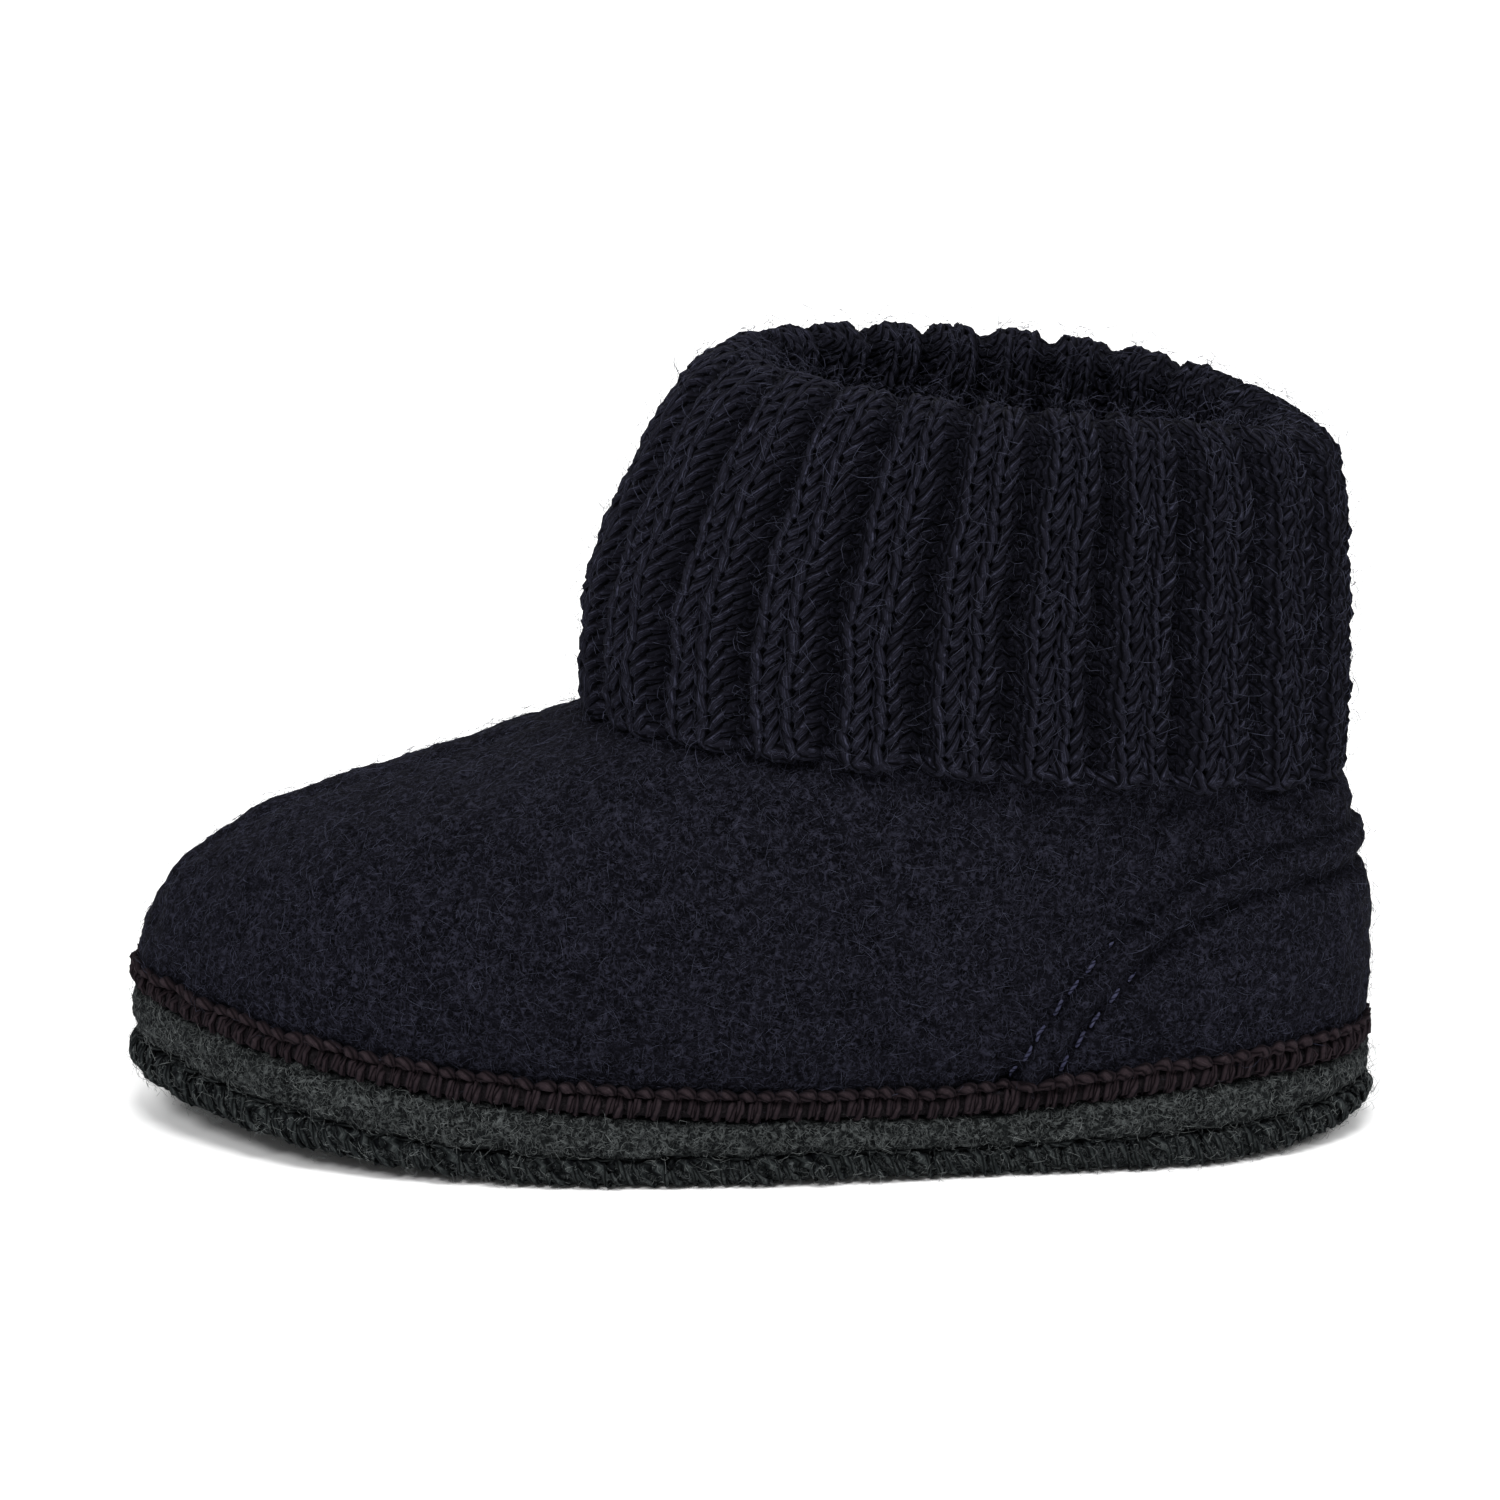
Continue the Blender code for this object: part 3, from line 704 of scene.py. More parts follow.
def ply_twist_group():
    """Plies that wind round a yarn and the fibres that run along them, read from the yarn's own UV map."""
    group, given = group_with("ply twist", {"Plies": 3.0, "Fuzz Scale": 900.0})
    yarn_map = group.nodes.new("ShaderNodeUVMap")
    yarn_map.uv_map = "yarn"
    split = group.nodes.new("ShaderNodeSeparateXYZ")
    group.links.new(yarn_map.outputs["UV"], split.inputs[0])
    twists, around = split.outputs["X"], split.outputs["Y"]
    phase = math_node(group, "ADD", times(group, around, given["Plies"]), twists)
    ply = math_node(group, "ABSOLUTE", math_node(group, "SINE", times(group, phase, math.pi)))
    place = group.nodes.new("ShaderNodeTexCoord").outputs["Object"]
    fuzz = noise_node(group, place, given["Fuzz Scale"], 3.0, 1.0)
    streak = group.nodes.new("ShaderNodeCombineXYZ")
    for axis, value, stretch in (("X", twists, 1.1), ("Y", phase, 9.0), ("Z", fuzz, 2.0)):
        group.links.new(times(group, value, stretch), streak.inputs[axis])
    fibre = ramp(group, noise_node(group, streak.outputs[0], 1.0, 2.0), 0.44, 0.68)
    # Painted light: this share is high along one line round the yarn and falls to nothing on the far side;
    # the yarn material paints light and shade by it.
    level = math_node(group, "COSINE", times(group, around, 2 * math.pi))
    painted_crest = ramp(group, level, -0.25, 0.95)
    height = math_node(group, "ADD", times(group, fibre, 0.45), ply)
    height = math_node(group, "ADD", times(group, fuzz, 0.25), height)
    put_out(group, {"Painted Crest": painted_crest, "Ply": ply, "Fibre": fibre, "Fuzz": fuzz, "Height": height})
    return group


WOOL_NAP = wool_nap_group()
PLY_TWIST = ply_twist_group()


def wool_material(name, roughness, sheen, sheen_tint):
    """A wool material, its tree and its shader, with the constant values set."""
    material = bpy.data.materials.new(name)
    material.use_nodes = True
    tree = material.node_tree
    shader = tree.nodes["Principled BSDF"]
    shader.inputs["Roughness"].default_value = roughness
    shader.inputs["Specular IOR Level"].default_value = 0.02
    shader.inputs["Sheen Weight"].default_value = sheen
    shader.inputs["Sheen Roughness"].default_value = 0.5
    shader.inputs["Sheen Tint"].default_value = (*sheen_tint, 1.0)
    return material, tree, shader


def bump(tree, shader, height, strength, distance):
    node = tree.nodes.new("ShaderNodeBump")
    node.inputs["Strength"].default_value = strength
    node.inputs["Distance"].default_value = distance
    tree.links.new(height, node.inputs["Height"])
    tree.links.new(node.outputs["Normal"], shader.inputs["Normal"])


def placed_group(tree, group, values):
    node = tree.nodes.new("ShaderNodeGroup")
    node.node_tree = group
    for label, value in values.items():
        node.inputs[label].default_value = value
    return node.outputs


def painted_shade_share(tree):
    """How deep a place is sunk, read from the 'depth' attribute: the share of painted shade there."""
    shade_amount = tree.nodes.new("ShaderNodeAttribute")
    shade_amount.attribute_name = "depth"
    return shade_amount.outputs["Fac"]


def felt_material(name, fibre_scale, tuft_scale, dark, body, strand):
    """Felt: a body that varies in tufts and slowly, dark pits (random tone and painted shade where the
    nap's bump sinks), painted shade in troughs and sunk places, and paler strands on top.
    """
    material, tree, shader = wool_material(name, 0.95, 0.008, (0.6, 0.65, 0.9))
    nap = placed_group(tree, WOOL_NAP, {"Fibre Scale": fibre_scale, "Tuft Scale": tuft_scale})
    faded = tuple(channel * 1.35 for channel in body)
    # Dark in the pits of the nap's bump: partly random tone, partly painted shade.
    tufts_and_pit_shade = mixed(tree, ramp(tree, nap["Tuft"], 0.36, 0.60), dark, body)
    uneven_body = mixed(tree, ramp(tree, nap["Slow"], 0.42, 0.80), tufts_and_pit_shade, faded)
    # Painted shade where the felt is sunk, which also hides its paler strands there.
    shade_amount = painted_shade_share(tree)
    shaded = mixed(tree, times(tree, shade_amount, 0.8), uneven_body, dark)
    shown = times(tree, nap["Fibre"], math_node(tree, "MULTIPLY_ADD", shade_amount, -0.6, 1.0))
    tree.links.new(mixed(tree, shown, shaded, strand), shader.inputs["Base Color"])
    bump(tree, shader, nap["Height"], 0.9, 0.0006)
    return material


def yarn_material(name, plies, dark, light, streak_and_highlight):
    """Plied yarn with painted light and shade: a painted highlight on its outer ridge, painted shade round
    the rest of it, between the plies and where it is sunk, and pale streaks shown only where it is painted
    light.
    """
    material, tree, shader = wool_material(name, 0.85, 0.008, (0.6, 0.65, 0.9))
    twist = placed_group(tree, PLY_TWIST, {"Plies": plies})
    # Painted light and shade: lighter on the crest and on the plies, darker round the far side of the yarn
    # and between its plies.
    painted_ridge_light = times(tree, twist["Painted Crest"], ramp(tree, twist["Ply"], 0.12, 0.80))
    # Painted shade where the yarn is sunk.
    unshaded = math_node(tree, "MULTIPLY_ADD", painted_shade_share(tree), -0.85, 1.0)
    share = times(tree, painted_ridge_light, unshaded)
    body = mixed(tree, share, dark, light)
    # Pale fibre streaks, shown only where the yarn is painted light: partly real fibres, partly painted
    # highlight.
    streaks = times(tree, twist["Fibre"], ramp(tree, twist["Fuzz"], 0.35, 0.75))
    colour = mixed(tree, times(tree, streaks, share), body, streak_and_highlight)
    tree.links.new(colour, shader.inputs["Base Color"])
    bump(tree, shader, twist["Height"], 0.7, 0.0004)
    return material


def loose_wool(name, colour):
    """Single fibres, darker here and there."""
    material, tree, shader = wool_material(name, 0.8, 0.05, (0.7, 0.75, 0.95))
    place = tree.nodes.new("ShaderNodeTexCoord").outputs["Object"]
    patches = ramp(tree, noise_node(tree, place, 350.0, 2.0), 0.4, 0.62)
    darker = tuple(channel * 0.35 for channel in colour)
    tree.links.new(mixed(tree, patches, darker, colour), shader.inputs["Base Color"])
    return material


# Felts: scales of the fibres and tufts, then the colours of pits and painted shade, body and strands
NAVY_FELT = felt_material(
    "navy felt", 640.0, 1500.0, (0.0006, 0.0006, 0.0010), (0.0030, 0.0030, 0.0046), (0.0180, 0.0182, 0.0285)
)
NAVY_CLOTH = felt_material(
    "navy cloth", 700.0, 600.0, (0.0010, 0.0010, 0.0015), (0.0028, 0.0028, 0.0042), (0.009, 0.009, 0.015)
)
GREY_FELT = felt_material(
    "heather felt", 600.0, 1250.0, (0.0022, 0.0025, 0.0026), (0.0064, 0.0074, 0.0076), (0.062, 0.068, 0.068)
)
DARK_FELT = felt_material(
    "sole felt", 800.0, 1500.0, (0.0016, 0.0020, 0.0021), (0.0060, 0.0073, 0.0076), (0.0540, 0.0600, 0.0610)
)
BROWN_CORE = felt_material(
    "brown seam", 900.0, 600.0, (0.0030, 0.0026, 0.0030), (0.0090, 0.0075, 0.0085), (0.02, 0.017, 0.019)
)
INSOLE_FELT = felt_material(
    "insole felt", 520.0, 420.0, (0.010, 0.0105, 0.012), (0.024, 0.025, 0.028), (0.050, 0.052, 0.056)
)

# Yarns: plies, then the colours of painted shade between the plies, of painted light on them and of their
# streaks, which are partly painted highlight
NAVY_YARN = yarn_material(
    "navy yarn", 3.0, (0.0008, 0.0008, 0.0013), (0.0072, 0.0072, 0.0112), (0.0540, 0.0555, 0.0880)
)
GREY_YARN = yarn_material(
    "grey yarn", 4.0, (0.0018, 0.0022, 0.0023), (0.0130, 0.0155, 0.0158), (0.0950, 0.1050, 0.1050)
)
BROWN_YARN = yarn_material(
    "brown yarn", 4.0, (0.0046, 0.0032, 0.0039), (0.0205, 0.0145, 0.0172), (0.0470, 0.0350, 0.0395)
)
THREAD = yarn_material(
    "blue thread", 2.0, (0.006, 0.0062, 0.012), (0.040, 0.041, 0.078), (0.13, 0.135, 0.210)
)

NAVY_FIBRE = loose_wool("navy fibre", (0.046, 0.048, 0.075))
GREY_FIBRE = loose_wool("pale fibre", (0.180, 0.195, 0.192))


def felt_skin(name, *node_names):
    """The nodes' copies as one even skin of small faces."""
    face_size, off, smoothing = FELT_SKINS[name][:3]
    whole = bmesh.new()
    for node_name in node_names:
        node = NODES[node_name]
        copy = bmesh.new()
        copy.from_mesh(node.data)
        bmesh.ops.transform(copy, matrix=node.matrix_world, verts=copy.verts)
        bmesh.ops.remove_doubles(copy, verts=copy.verts, dist=0.000002)
        copy.normal_update()
        for vertex in copy.verts:
            vertex.co += vertex.normal * off
        whole.from_mesh(as_mesh(copy, "copy"))
    obj = link(name, as_mesh(whole, name))
    skin = obj.modifiers.new("skin", "REMESH")
    skin.mode = "VOXEL"
    skin.voxel_size = face_size
    even = obj.modifiers.new("even", "SMOOTH")
    even.factor = 0.5
    even.iterations = smoothing
    return applied(obj, name)


def roughen(name, mesh):
    """Raises and sinks a felt skin in its lumps. It stays flat near the floor."""
    calm_below, lumps = FELT_SKINS[name][3:]
    places, normals = vertex_places(mesh), vertex_normals(mesh)
    rise = np.zeros(len(places))
    for shift, (size, height) in enumerate(lumps):
        offset = Vector((3.1 * shift, 1.7 * shift, 0.9 * shift))
        rise += [height * noise.noise(Vector(point) / size + offset) for point in places]
    if calm_below > 0:
        rise *= smooth_step(places[:, 2] / calm_below - 0.3)
    move_vertices(mesh, places + normals * rise[:, None])


def felt_piece(name, node_name, material):
    """A felt skin that stands for one node."""
    skin = felt_skin(name, node_name)
    roughen(name, skin)
    finished(name, skin, material, (node_name,))
    return skin


def spots_on(mesh, count, seed, wanted):
    """Random places on a mesh, even by area where wanted, and the normals there."""
    dice = np.random.default_rng(seed)
    corners = triangle_corners(mesh)
    places, normals = vertex_places(mesh), vertex_normals(mesh)
    tri = places[corners]
    facing = np.cross(tri[:, 1] - tri[:, 0], tri[:, 2] - tri[:, 0])
    area = np.linalg.norm(facing, axis=1)
    facing /= np.maximum(area, 1e-12)[:, None]
    weight = area * wanted(tri.mean(axis=1), facing)
    chosen = dice.choice(len(tri), count, p=weight / weight.sum())
    first, second = dice.random(count), dice.random(count)
    over = first + second > 1
    first[over], second[over] = 1 - first[over], 1 - second[over]
    share = np.column_stack([1 - first - second, first, second])
    spots = (tri[chosen] * share[:, :, None]).sum(axis=1)
    return spots, unit_rows((normals[corners[chosen]] * share[:, :, None]).sum(axis=1))


def fibres(name, spots, out, material):
    """Loose curled fibres that lie on a surface and lift off it here and there."""
    count, length, radius, lift, curl, seed = LOOSE_FIBRES[name]
    dice = np.random.default_rng(seed + 1)
    bm = bmesh.new()
    bmesh.ops.create_uvsphere(bm, u_segments=3, v_segments=3, radius=1.0)
    unit_size = len(bm.verts)
    mesh = tiled(name, bm, (count,), (0.0,), joined=False)
    unit = vertex_places(mesh)[:unit_size]
    share = (1 - np.arccos(np.clip(unit[:, 2], -1, 1)) / math.pi)[None, :]
    aside = dice.normal(size=(count, 3))
    aside = unit_rows(aside - out * (aside * out).sum(axis=1)[:, None])
    across = np.cross(out, aside)
    sizes = (length * np.minimum(dice.lognormal(0.0, 0.45, count), LONGEST_FIBRE))[:, None]
    rises = np.clip(dice.normal(lift, lift * 0.7, count), 0.02, STEEPEST_FIBRE)[:, None]
    bends = dice.normal(0.0, curl * 1.6, count)[:, None]
    turn = bends * share
    straight = np.abs(bends) < 0.05
    safe = np.where(straight, 1.0, bends)
    way = np.where(straight, share, np.sin(turn) / safe) * sizes
    bow = np.where(straight, 0.0, (1 - np.cos(turn)) / safe) * sizes
    hump = (1.6 * share * (1 - share) + share * 0.6) * sizes * rises
    middle = spots[:, None] + aside[:, None] * way[:, :, None] + across[:, None] * bow[:, :, None]
    middle += out[:, None] * hump[:, :, None]
    thick = across[:, None] * unit[None, :, 0:1] + out[:, None] * unit[None, :, 1:2]
    places = (middle + thick * radius).reshape(-1, 3)
    places[:, 2] = np.maximum(places[:, 2], FLOOR_GAP)
    move_vertices(mesh, places)
    finished(name, mesh, material)


def fibres_on(name, skin, wanted, material, raised=0.0):
    """Loose fibres on the wanted faces of a skin."""
    count, seed = LOOSE_FIBRES[name][0], LOOSE_FIBRES[name][-1]
    spots, out = spots_on(skin, count, seed, wanted)
    fibres(name, spots + out * raised, out, material)


def counter_run(x):
    """How far forward a place is on the counter, from 0 at the heel to 1 at its front end."""
    return np.clip((LENGTH / 2 - COLLAR_SETBACK / 2 - x) / COUNTER_LENGTH, 0, 1)


def stitch_z(x, row):
    """Height of a stitch row of the counter."""
    run = counter_run(x)
    top = feather_z(x) + BAND_HEIGHT + COUNTER_HEIGHT * (1 - run**3)
    slope = 3 * COUNTER_HEIGHT / COUNTER_LENGTH * run**2
    return float(top - row * CHANNEL_WIDTH * np.hypot(1, slope))


def counter_line(skin, row):
    """Points and normals on the skin along a stitch row of the heel counter."""
    tree = skin_tree(skin)
    spots = []
    for run in np.linspace(0.10, 0.90, 481) * PERIMETER:
        place, outward = edge_frame(np.array([run]))
        away = Vector((*outward[0], 0.0))
        level = stitch_z(place[0, 0], row)
        if level < feather_z(place[0, 0]) + BAND_HEIGHT + ABOVE_SEAM:
            continue
        for _ in range(3):
            start = Vector((*place[0], level)) + away * 0.012
            spot, normal, _, _ = tree.ray_cast(start, -away, 0.05)
            if spot is None:
                break
            level = stitch_z(spot.x, row)
        if spot is not None and level > feather_z(spot.x) + BAND_HEIGHT + ABOVE_SEAM:
            spots.append((*spot, *normal))
    return np.array(spots)


def near_line(places, line):
    """Distances from places to a line of closely set points."""
    tree = KDTree(len(line))
    for i, point in enumerate(line):
        tree.insert(point[:3], i)
    tree.balance()
    return np.array([tree.find(place)[2] for place in places])


def tapered(radius, share, end):
    """A stitch's thickness along it, with its ends a share of the middle."""
    return radius * (end + (1 - end) * np.sin(math.pi * share) ** 0.5)


def counter_stitches(name, line):
    """Visible stitches along a line of points and normals, sunk where it climbs to the heel."""
    run = run_along(line[:, :3])
    count = int(run[-1] / STITCH_PITCH)
    share = np.linspace(0, 1, 8)
    dip = -STITCH_DIP * (2 * share - 1) ** 4
    path = np.column_stack([(share - 0.5) * STITCH_LENGTH, 0 * share, dip])
    unit = yarn_tube(path, tapered(STITCH_RADIUS, share, 0.6), 6, 3, capped=True)
    row = tiled(name, unit, (count,), (STITCH_PITCH,), joined=False)
    flat = vertex_places(row)
    number = np.round(flat[:, 0] / STITCH_PITCH)
    at = flat[:, 0] + (run[-1] - (count - 1) * STITCH_PITCH) / 2 + waves(number, (0.0003, 2.4))
    spot = read_at(run, line, at)
    normal = unit_rows(spot[:, 3:])
    ahead = unit_rows(read_at(run, line[:, :3], at + 0.0005) - spot[:, :3])
    across = np.cross(normal, ahead)
    slant = flat[:, 1] + 0.12 * (flat[:, 0] - number * STITCH_PITCH)
    climb = (spot[:, 2] - line[:, 2].min()) / np.ptp(line[:, 2])
    lift = flat[:, 2] + 0.0004 - 0.0009 * smooth_step((climb - 0.25) * 1.8)
    move_vertices(row, spot[:, :3] + across * slant[:, None] + normal * lift[:, None])
    finished(name, row, THREAD)


def shape_channel(skin, rows):
    """Sinks the skin at the counter's stitch rows and swells the channel between them."""
    places, normals = vertex_places(skin), vertex_normals(skin)
    near = [near_line(places, row) for row in rows]
    trough = sum(np.exp(-((gap / TROUGH_WIDTH) ** 2)) for gap in near)
    # Painted shade: the troughs are marked for the felt material to darken.
    set_painted_shade(skin, trough)
    between = np.clip(1 - (near[0] + near[1] - CHANNEL_WIDTH) / 0.0030, 0, 1)
    swell = CHANNEL_SWELL * between * np.clip(np.minimum(near[0], near[1]) / 0.0025, 0, 1)
    move_vertices(skin, places + normals * (swell - TROUGH_DEPTH * trough)[:, None])


def outside_of_upper(middle, facing):
    """Whether faces look away from the foot and lie below the cuff."""
    core = np.column_stack([middle[:, 0] * 0.7, np.zeros(len(middle)), np.full(len(middle), 0.03)])
    return (((middle - core) * facing).sum(axis=1) > 0) & (middle[:, 2] < 0.068)


def build_upper():
    skin = felt_skin("upper_felt", "upper", "heel_counter")
    rows = [counter_line(skin, row) for row in STITCH_ROWS]
    roughen("upper_felt", skin)
    shape_channel(skin, rows)
    rows = [counter_line(skin, row) for row in STITCH_ROWS]
    finished("upper_felt", skin, NAVY_FELT, ("upper", "heel_counter"))
    for name, row in zip(("counter_stitches_top", "counter_stitches_low"), rows):
        counter_stitches(name, row)
    fibres_on("upper_fibres", skin, outside_of_upper, NAVY_FIBRE)
    return skin


def rib_drop(rib):
    """How far the knit sinks between two ribs."""
    return -RIB_DROP * smooth_step((np.abs(off_centre(rib)) - RIB_FLANK) / 0.13)


def knit_path(samples):
    """The yarn's way through one rib of one row, in metres on the flat cloth, and its thickness there."""
    points, thick = [], []
    turn = np.linspace(0, 2, samples, endpoint=False)
    half = np.where(turn > 1, 2 - turn, turn)
    for start, width, side in WALES:
        is_knit = side > 0
        across = through(LOOP, 1, half)
        across = np.where(turn > 1, 1 - across, across)
        x = (start + width * across) * RIB_PITCH
        y = through(LOOP, 2, half) * ROW_PITCH * (1.0 if is_knit else PURL_HEIGHT)
        z = through(LOOP, 3 if is_knit else 4, half) * MM
        points += list(zip(x, y, z))
        thick += list(YARN_RADIUS * through(LOOP, 5, half))
    points = np.array(points)
    return np.vstack([points, points[0] + [RIB_PITCH, 0, 0]]), thick + thick[:1]


def uneven(flat):
    """Small differences from stitch to stitch."""
    rib, row = flat[:, 0] / RIB_PITCH, flat[:, 1] / ROW_PITCH
    turn = 2 * math.pi * rib / RIBS
    shifted = flat.copy()
    shifted[:, 0] += 0.00030 * np.sin(11 * turn + row * 0.93) + 0.00024 * np.sin(37 * turn - row * 2.1)
    shifted[:, 1] += 0.00034 * np.sin(17 * turn + row * 0.7) + 0.00022 * np.sin(41 * turn + row * 1.9)
    shifted[:, 2] += 0.00022 * np.sin(23 * turn - row * 1.3) + 0.00022 * np.sin(57 * turn + row * 2.7)
    return shifted


def knit(name):
    """Rows of rib knit as real yarn, laid on the cuff."""
    first_row, rows, samples, sides, shade = KNIT_STRIPS[name]
    path, thick = knit_path(samples)
    unit = yarn_tube(path, thick, sides, YARN_TWISTS, YARN_FLATNESS)
    cloth = tiled(name, unit, (RIBS, rows), (RIB_PITCH, ROW_PITCH))
    flat = vertex_places(cloth)
    flat[:, 1] += (first_row + 0.9) * ROW_PITCH
    at_fold = np.exp(-(((flat[:, 1] / ROW_PITCH / ROWS - FOLD_AT) / 0.075) ** 2))
    drop = rib_drop(flat[:, 0] / RIB_PITCH)
    # Painted shade: yarn that lies deeper in the cloth, in the rib valleys and where the loops pass behind,
    # is marked for its material to darken.
    set_painted_shade(cloth, shade * np.clip((0.0009 - flat[:, 2] - drop) / 0.0040, 0, 1))
    flat[:, 2] = flat[:, 2] * (1 - 0.35 * at_fold) + drop * (1 - 0.6 * at_fold) - KNIT_SINK
    move_vertices(cloth, onto_cuff(uneven(squared(flat))))
    return finished(name, closed_up(cloth), NAVY_YARN)


def hem_cord():
    """The cast-on edge: a thick yarn that follows the ribs round the hem."""
    share = np.linspace(0, 1, 15)
    wave = HEM_WAVE * np.sin(6 * math.pi * share)
    path = np.column_stack([share * RIB_PITCH, wave, -0.6 * wave])
    cord = tiled("cuff_hem", yarn_tube(path, HEM_RADIUS, 7, 5), (RIBS,), (RIB_PITCH,))
    flat = vertex_places(cord)
    flat[:, 1] += 0.42 * ROW_PITCH
    flat[:, 2] += rib_drop(flat[:, 0] / RIB_PITCH) - KNIT_SINK - 0.0002
    move_vertices(cord, onto_cuff(uneven(squared(flat))))
    finished("cuff_hem", closed_up(cord), NAVY_YARN)


def cuff_backing():
    """A thin dark wall behind the knit, so that no light comes through its gaps."""
    bm = bmesh.new()
    bmesh.ops.create_grid(bm, x_segments=4 * RIBS, y_segments=BACKING_ROWS, size=0.5)
    backing = as_mesh(bm, "cuff_backing")
    flat = vertex_places(backing) + [0.5, 0.5, 0]
    flat *= [RIBS * RIB_PITCH, (ROWS - 0.5) * ROW_PITCH, 0]
    flat[:, 1] += 0.3 * ROW_PITCH
    flat[:, 2] = -BACKING_SINK
    move_vertices(backing, onto_cuff(flat))
    obj = link("cuff_backing", closed_up(backing))
    wall = obj.modifiers.new("wall", "SOLIDIFY")
    wall.thickness = BACKING_WALL
    wall.offset = -1
    finished("cuff_backing", applied(obj, "cuff_backing"), NAVY_CLOTH)


def cuff_fibres():
    count, seed = LOOSE_FIBRES["cuff_fibres"][0], LOOSE_FIBRES["cuff_fibres"][-1]
    dice = np.random.default_rng(seed)
    rib = dice.random(count) * RIBS
    row = dice.random(count) * HAIRY_ROWS
    flat = np.column_stack([rib * RIB_PITCH, row * ROW_PITCH, rib_drop(rib)])
    spots = onto_cuff(flat)
    out = unit_rows(onto_cuff(flat + [0, 0, 0.0005]) - spots)
    fibres("cuff_fibres", spots, out, NAVY_FIBRE)


def build_cuff():
    lower = knit("cuff_knit_lower")
    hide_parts("cuff")
    hem_cord()
    knit("cuff_knit_upper")
    knit("cuff_knit_inside")
    cuff_backing()
    cuff_fibres()


def overlock_unit(pitch):
    """One stitch of the overlock yarn: a plump head along the top and two strands below it."""
    share = np.linspace(0, 1, 19)
    points = np.column_stack([through(OVERLOCK, column, share) for column in (1, 2, 3)])
    head = np.clip(1 - np.abs(share - HEAD_AT) / 0.16, 0, 1)
    thick = OVERLOCK_RADIUS + HEAD_SWELL * smooth_step(head)
    return yarn_tube(points * [pitch, BAND_HEIGHT, MM], thick, 6, 6)


def build_seam(upper):
    core = felt_piece("seam_core", "seam_band", BROWN_CORE)
    count, pitch = whole_pitch(OVERLOCK_PITCH)
    loops = tiled("overlock", overlock_unit(pitch), (count,), (pitch,))
    flat = vertex_places(loops)
    turn = 2 * math.pi * flat[:, 0] / PERIMETER
    flat += np.column_stack([
        waves(turn, (0.00022, 49), (0.00015, 125)),
        waves(turn, (0.00020, 31), (0.00012, 92)),
        waves(turn, (0.00010, 68)),
    ])
    at_tips = edge_frame(flat[:, 0])[1][:, 0] ** 6
    flat[:, 1] *= 1 - TIP_LOWERING * at_tips
    flat[:, 2] -= TIP_SINK * at_tips
    move_vertices(loops, onto_sole_edge(flat, feather_z, core, upper))
    finished("overlock", closed_up(loops), BROWN_YARN)


def edge_of_sole(middle, facing):
    """Whether faces are on the sole's edge and clear of the floor."""
    return (np.abs(facing[:, 2]) < 0.75) & (middle[:, 2] > MM)


def build_sole():
    mid = felt_piece("midsole_felt", "midsole", GREY_FELT)
    out = felt_piece("outsole_felt", "outsole", DARK_FELT)
    fibres_on("midsole_fibres", mid, edge_of_sole, GREY_FIBRE)
    fibres_on("outsole_fibres", out, edge_of_sole, GREY_FIBRE, OVER_STITCHES)
    whip_stitches(out)
    groove_thread(mid)
    felt_piece("insole_felt", "insole", INSOLE_FELT)


def whip_stitches(out):
    """Slanting yarn over the lower layer's edge, from the groove down under the sole."""
    count, pitch = whole_pitch(WHIP_PITCH)
    share = np.linspace(0, 1, 9)
    path = np.column_stack([
        WHIP_SLANT * (share - 0.5),
        OUTSOLE_EDGE * (1.02 - 0.96 * share),
        0.0001 + WHIP_BULGE * np.sin(math.pi * share) ** 0.5,
    ])
    unit = yarn_tube(path, tapered(WHIP_RADIUS, share, 0.55), 6, 2, capped=True)
    stitches = tiled("whip_stitches", unit, (count,), (pitch,), joined=False)
    flat = vertex_places(stitches)
    number = np.round(flat[:, 0] / pitch)
    shape = through(EDGE, 1, along(edge_frame(number * pitch)[0][:, 0]))
    flat[:, 1] = np.maximum(flat[:, 1] * shape, 0.0005)
    slant = waves(number, (0.20, 3.1), (0.15, 7.7))
    flat[:, 0] += waves(number, (0.0004, 2.3), (0.0003, 0.7)) + slant * flat[:, 1]
    flat[:, 2] += waves(number, (0.00022, 1.7), (0.00015, 5.1)) - 0.0001
    places = onto_sole_edge(flat, bottom_z, out)
    places[:, 2] = np.maximum(places[:, 2], FLOOR_GAP)
    move_vertices(stitches, places)
    finished("whip_stitches", stitches, GREY_YARN)


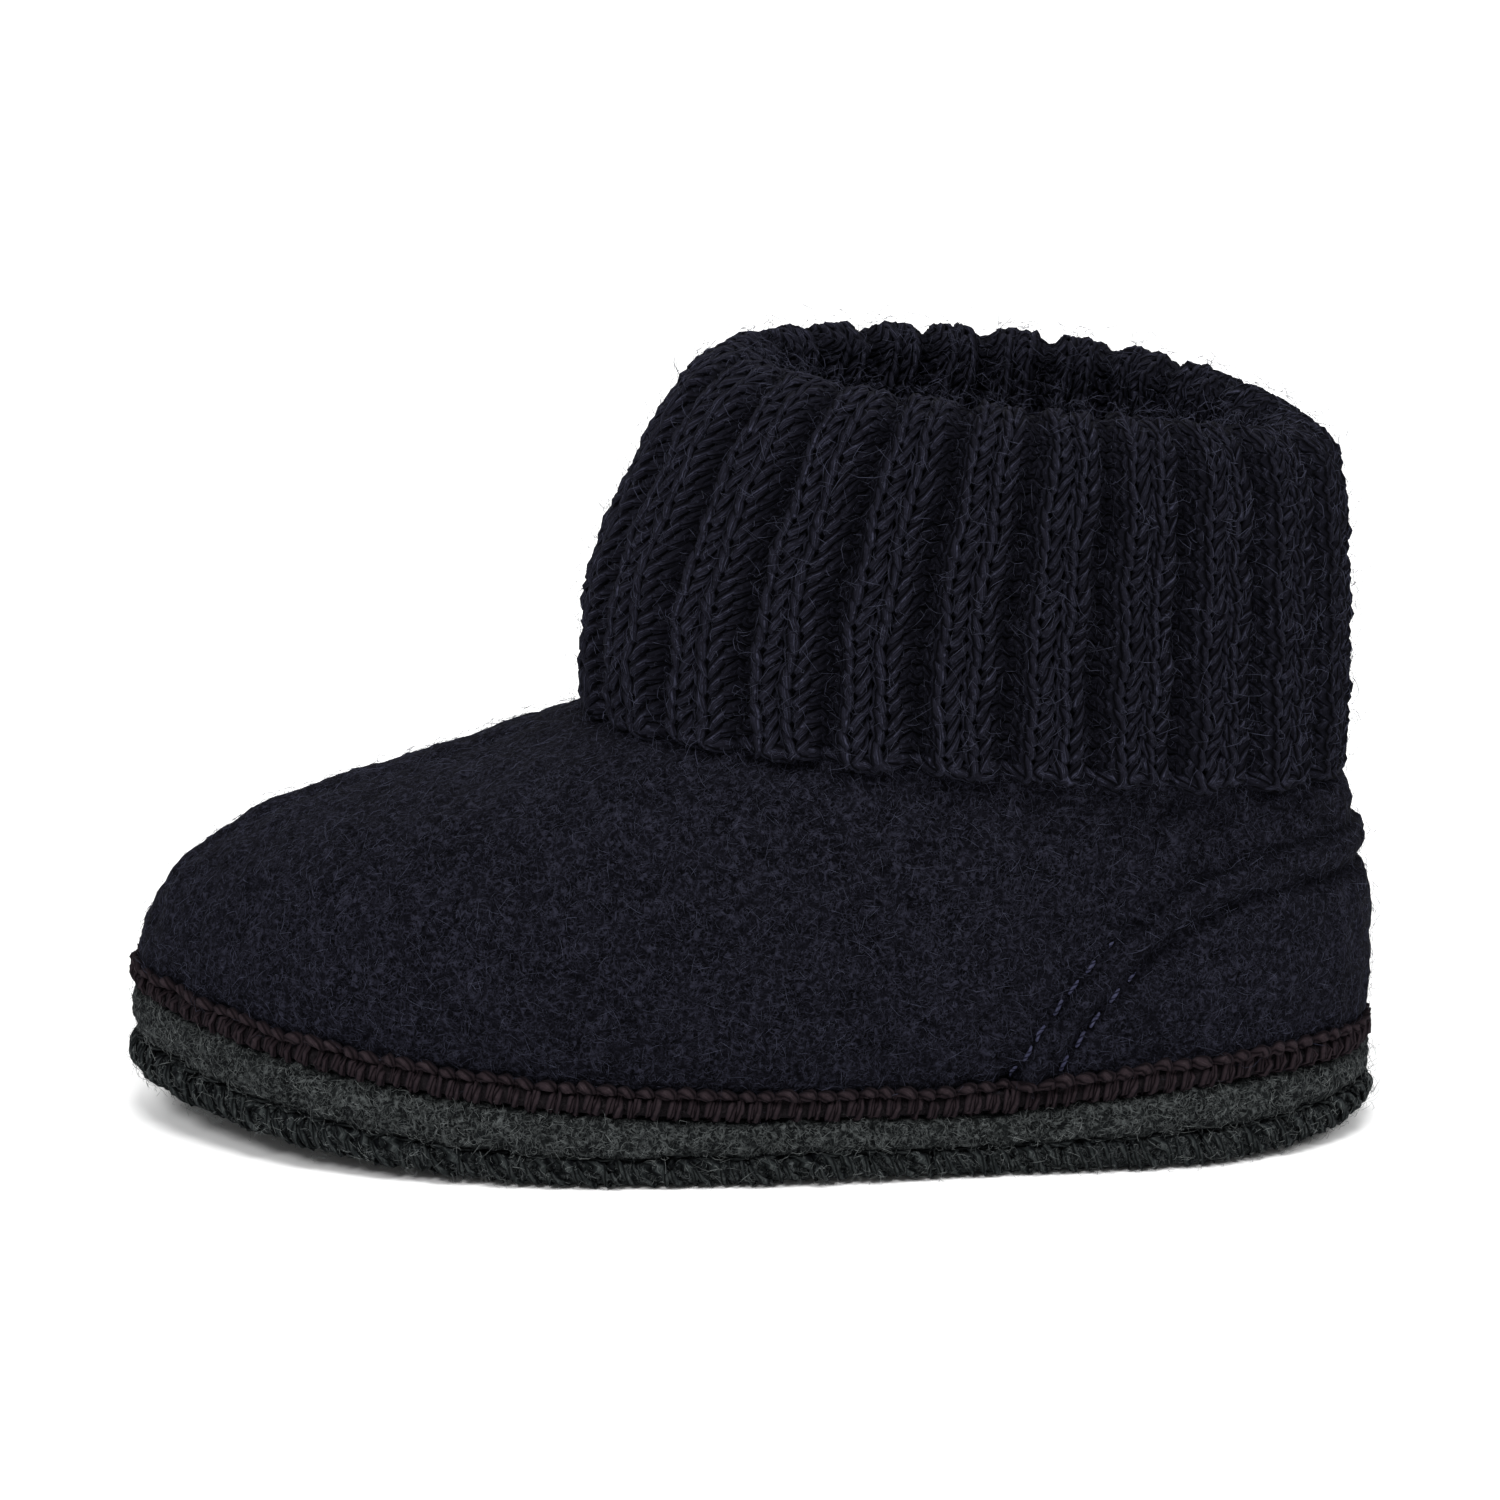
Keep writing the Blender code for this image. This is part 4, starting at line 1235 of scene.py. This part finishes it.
def groove_thread(mid):
    """The running thread that sews the two sole layers together, sunk in their groove."""
    count, pitch = whole_pitch(GROOVE_PITCH)
    share = np.linspace(0, 1, 9)
    path = np.column_stack([
        pitch * (share - 0.5) * 0.98,
        0.0005 * (share - 0.5),
        GROOVE_BULGE * np.sin(math.pi * share) ** 0.6 - GROOVE_SINK,
    ])
    unit = yarn_tube(path, tapered(GROOVE_RADIUS, share, 0.5), 5, 3, capped=True)
    thread = tiled("groove_thread", unit, (count,), (pitch,), joined=False)
    flat = vertex_places(thread)
    flat[:, 1] += 0.0001
    move_vertices(thread, onto_sole_edge(flat, groove_z, mid))
    finished("groove_thread", thread, GREY_YARN)


def build_camera():
    data = bpy.data.cameras.new("camera")
    data.lens = CAMERA_LENS
    data.sensor_width = CAMERA_SENSOR
    camera = bpy.data.objects.new("camera", data)
    bpy.context.scene.collection.objects.link(camera)
    rise = math.radians(CAMERA_ELEVATION)
    away = Vector((0, -math.cos(rise), math.sin(rise))) * CAMERA_DISTANCE
    camera.location = Vector(CAMERA_TARGET) + away
    camera.rotation_euler = (-away).to_track_quat("-Z", "Y").to_euler()
    bpy.context.scene.camera = camera


def build_light(name, place, size, power, aim):
    data = bpy.data.lights.new(name, "AREA")
    data.shape = "RECTANGLE"
    data.size, data.size_y = size
    data.energy = power
    light = bpy.data.objects.new(name, data)
    light.location = place
    light.rotation_euler = (Vector(aim) - Vector(place)).to_track_quat("-Z", "Y").to_euler()
    bpy.context.scene.collection.objects.link(light)


def build_studio():
    world = bpy.data.worlds.new("studio")
    world.use_nodes = True
    background = world.node_tree.nodes["Background"]
    background.inputs["Color"].default_value = (1.0, 1.0, 1.0, 1.0)
    background.inputs["Strength"].default_value = WORLD_LIGHT
    bpy.context.scene.world = world
    for light in LIGHTS:
        build_light(*light)
    bm = bmesh.new()
    bmesh.ops.create_grid(bm, x_segments=1, y_segments=1, size=FLOOR_HALF_WIDTH)
    floor = link("floor", as_mesh(bm, "floor"))
    paper = bpy.data.materials.new("paper")
    paper.use_nodes = True
    shader = paper.node_tree.nodes["Principled BSDF"]
    shader.inputs["Base Color"].default_value = (FLOOR_PALE, FLOOR_PALE, FLOOR_PALE, 1.0)
    shader.inputs["Roughness"].default_value = 0.9
    shader.inputs["Specular IOR Level"].default_value = 0.0
    floor.data.materials.append(paper)
    bpy.context.scene.view_settings.view_transform = "Standard"


def main():
    build_camera()
    build_studio()
    upper = build_upper()
    build_cuff()
    build_seam(upper)
    build_sole()


main()
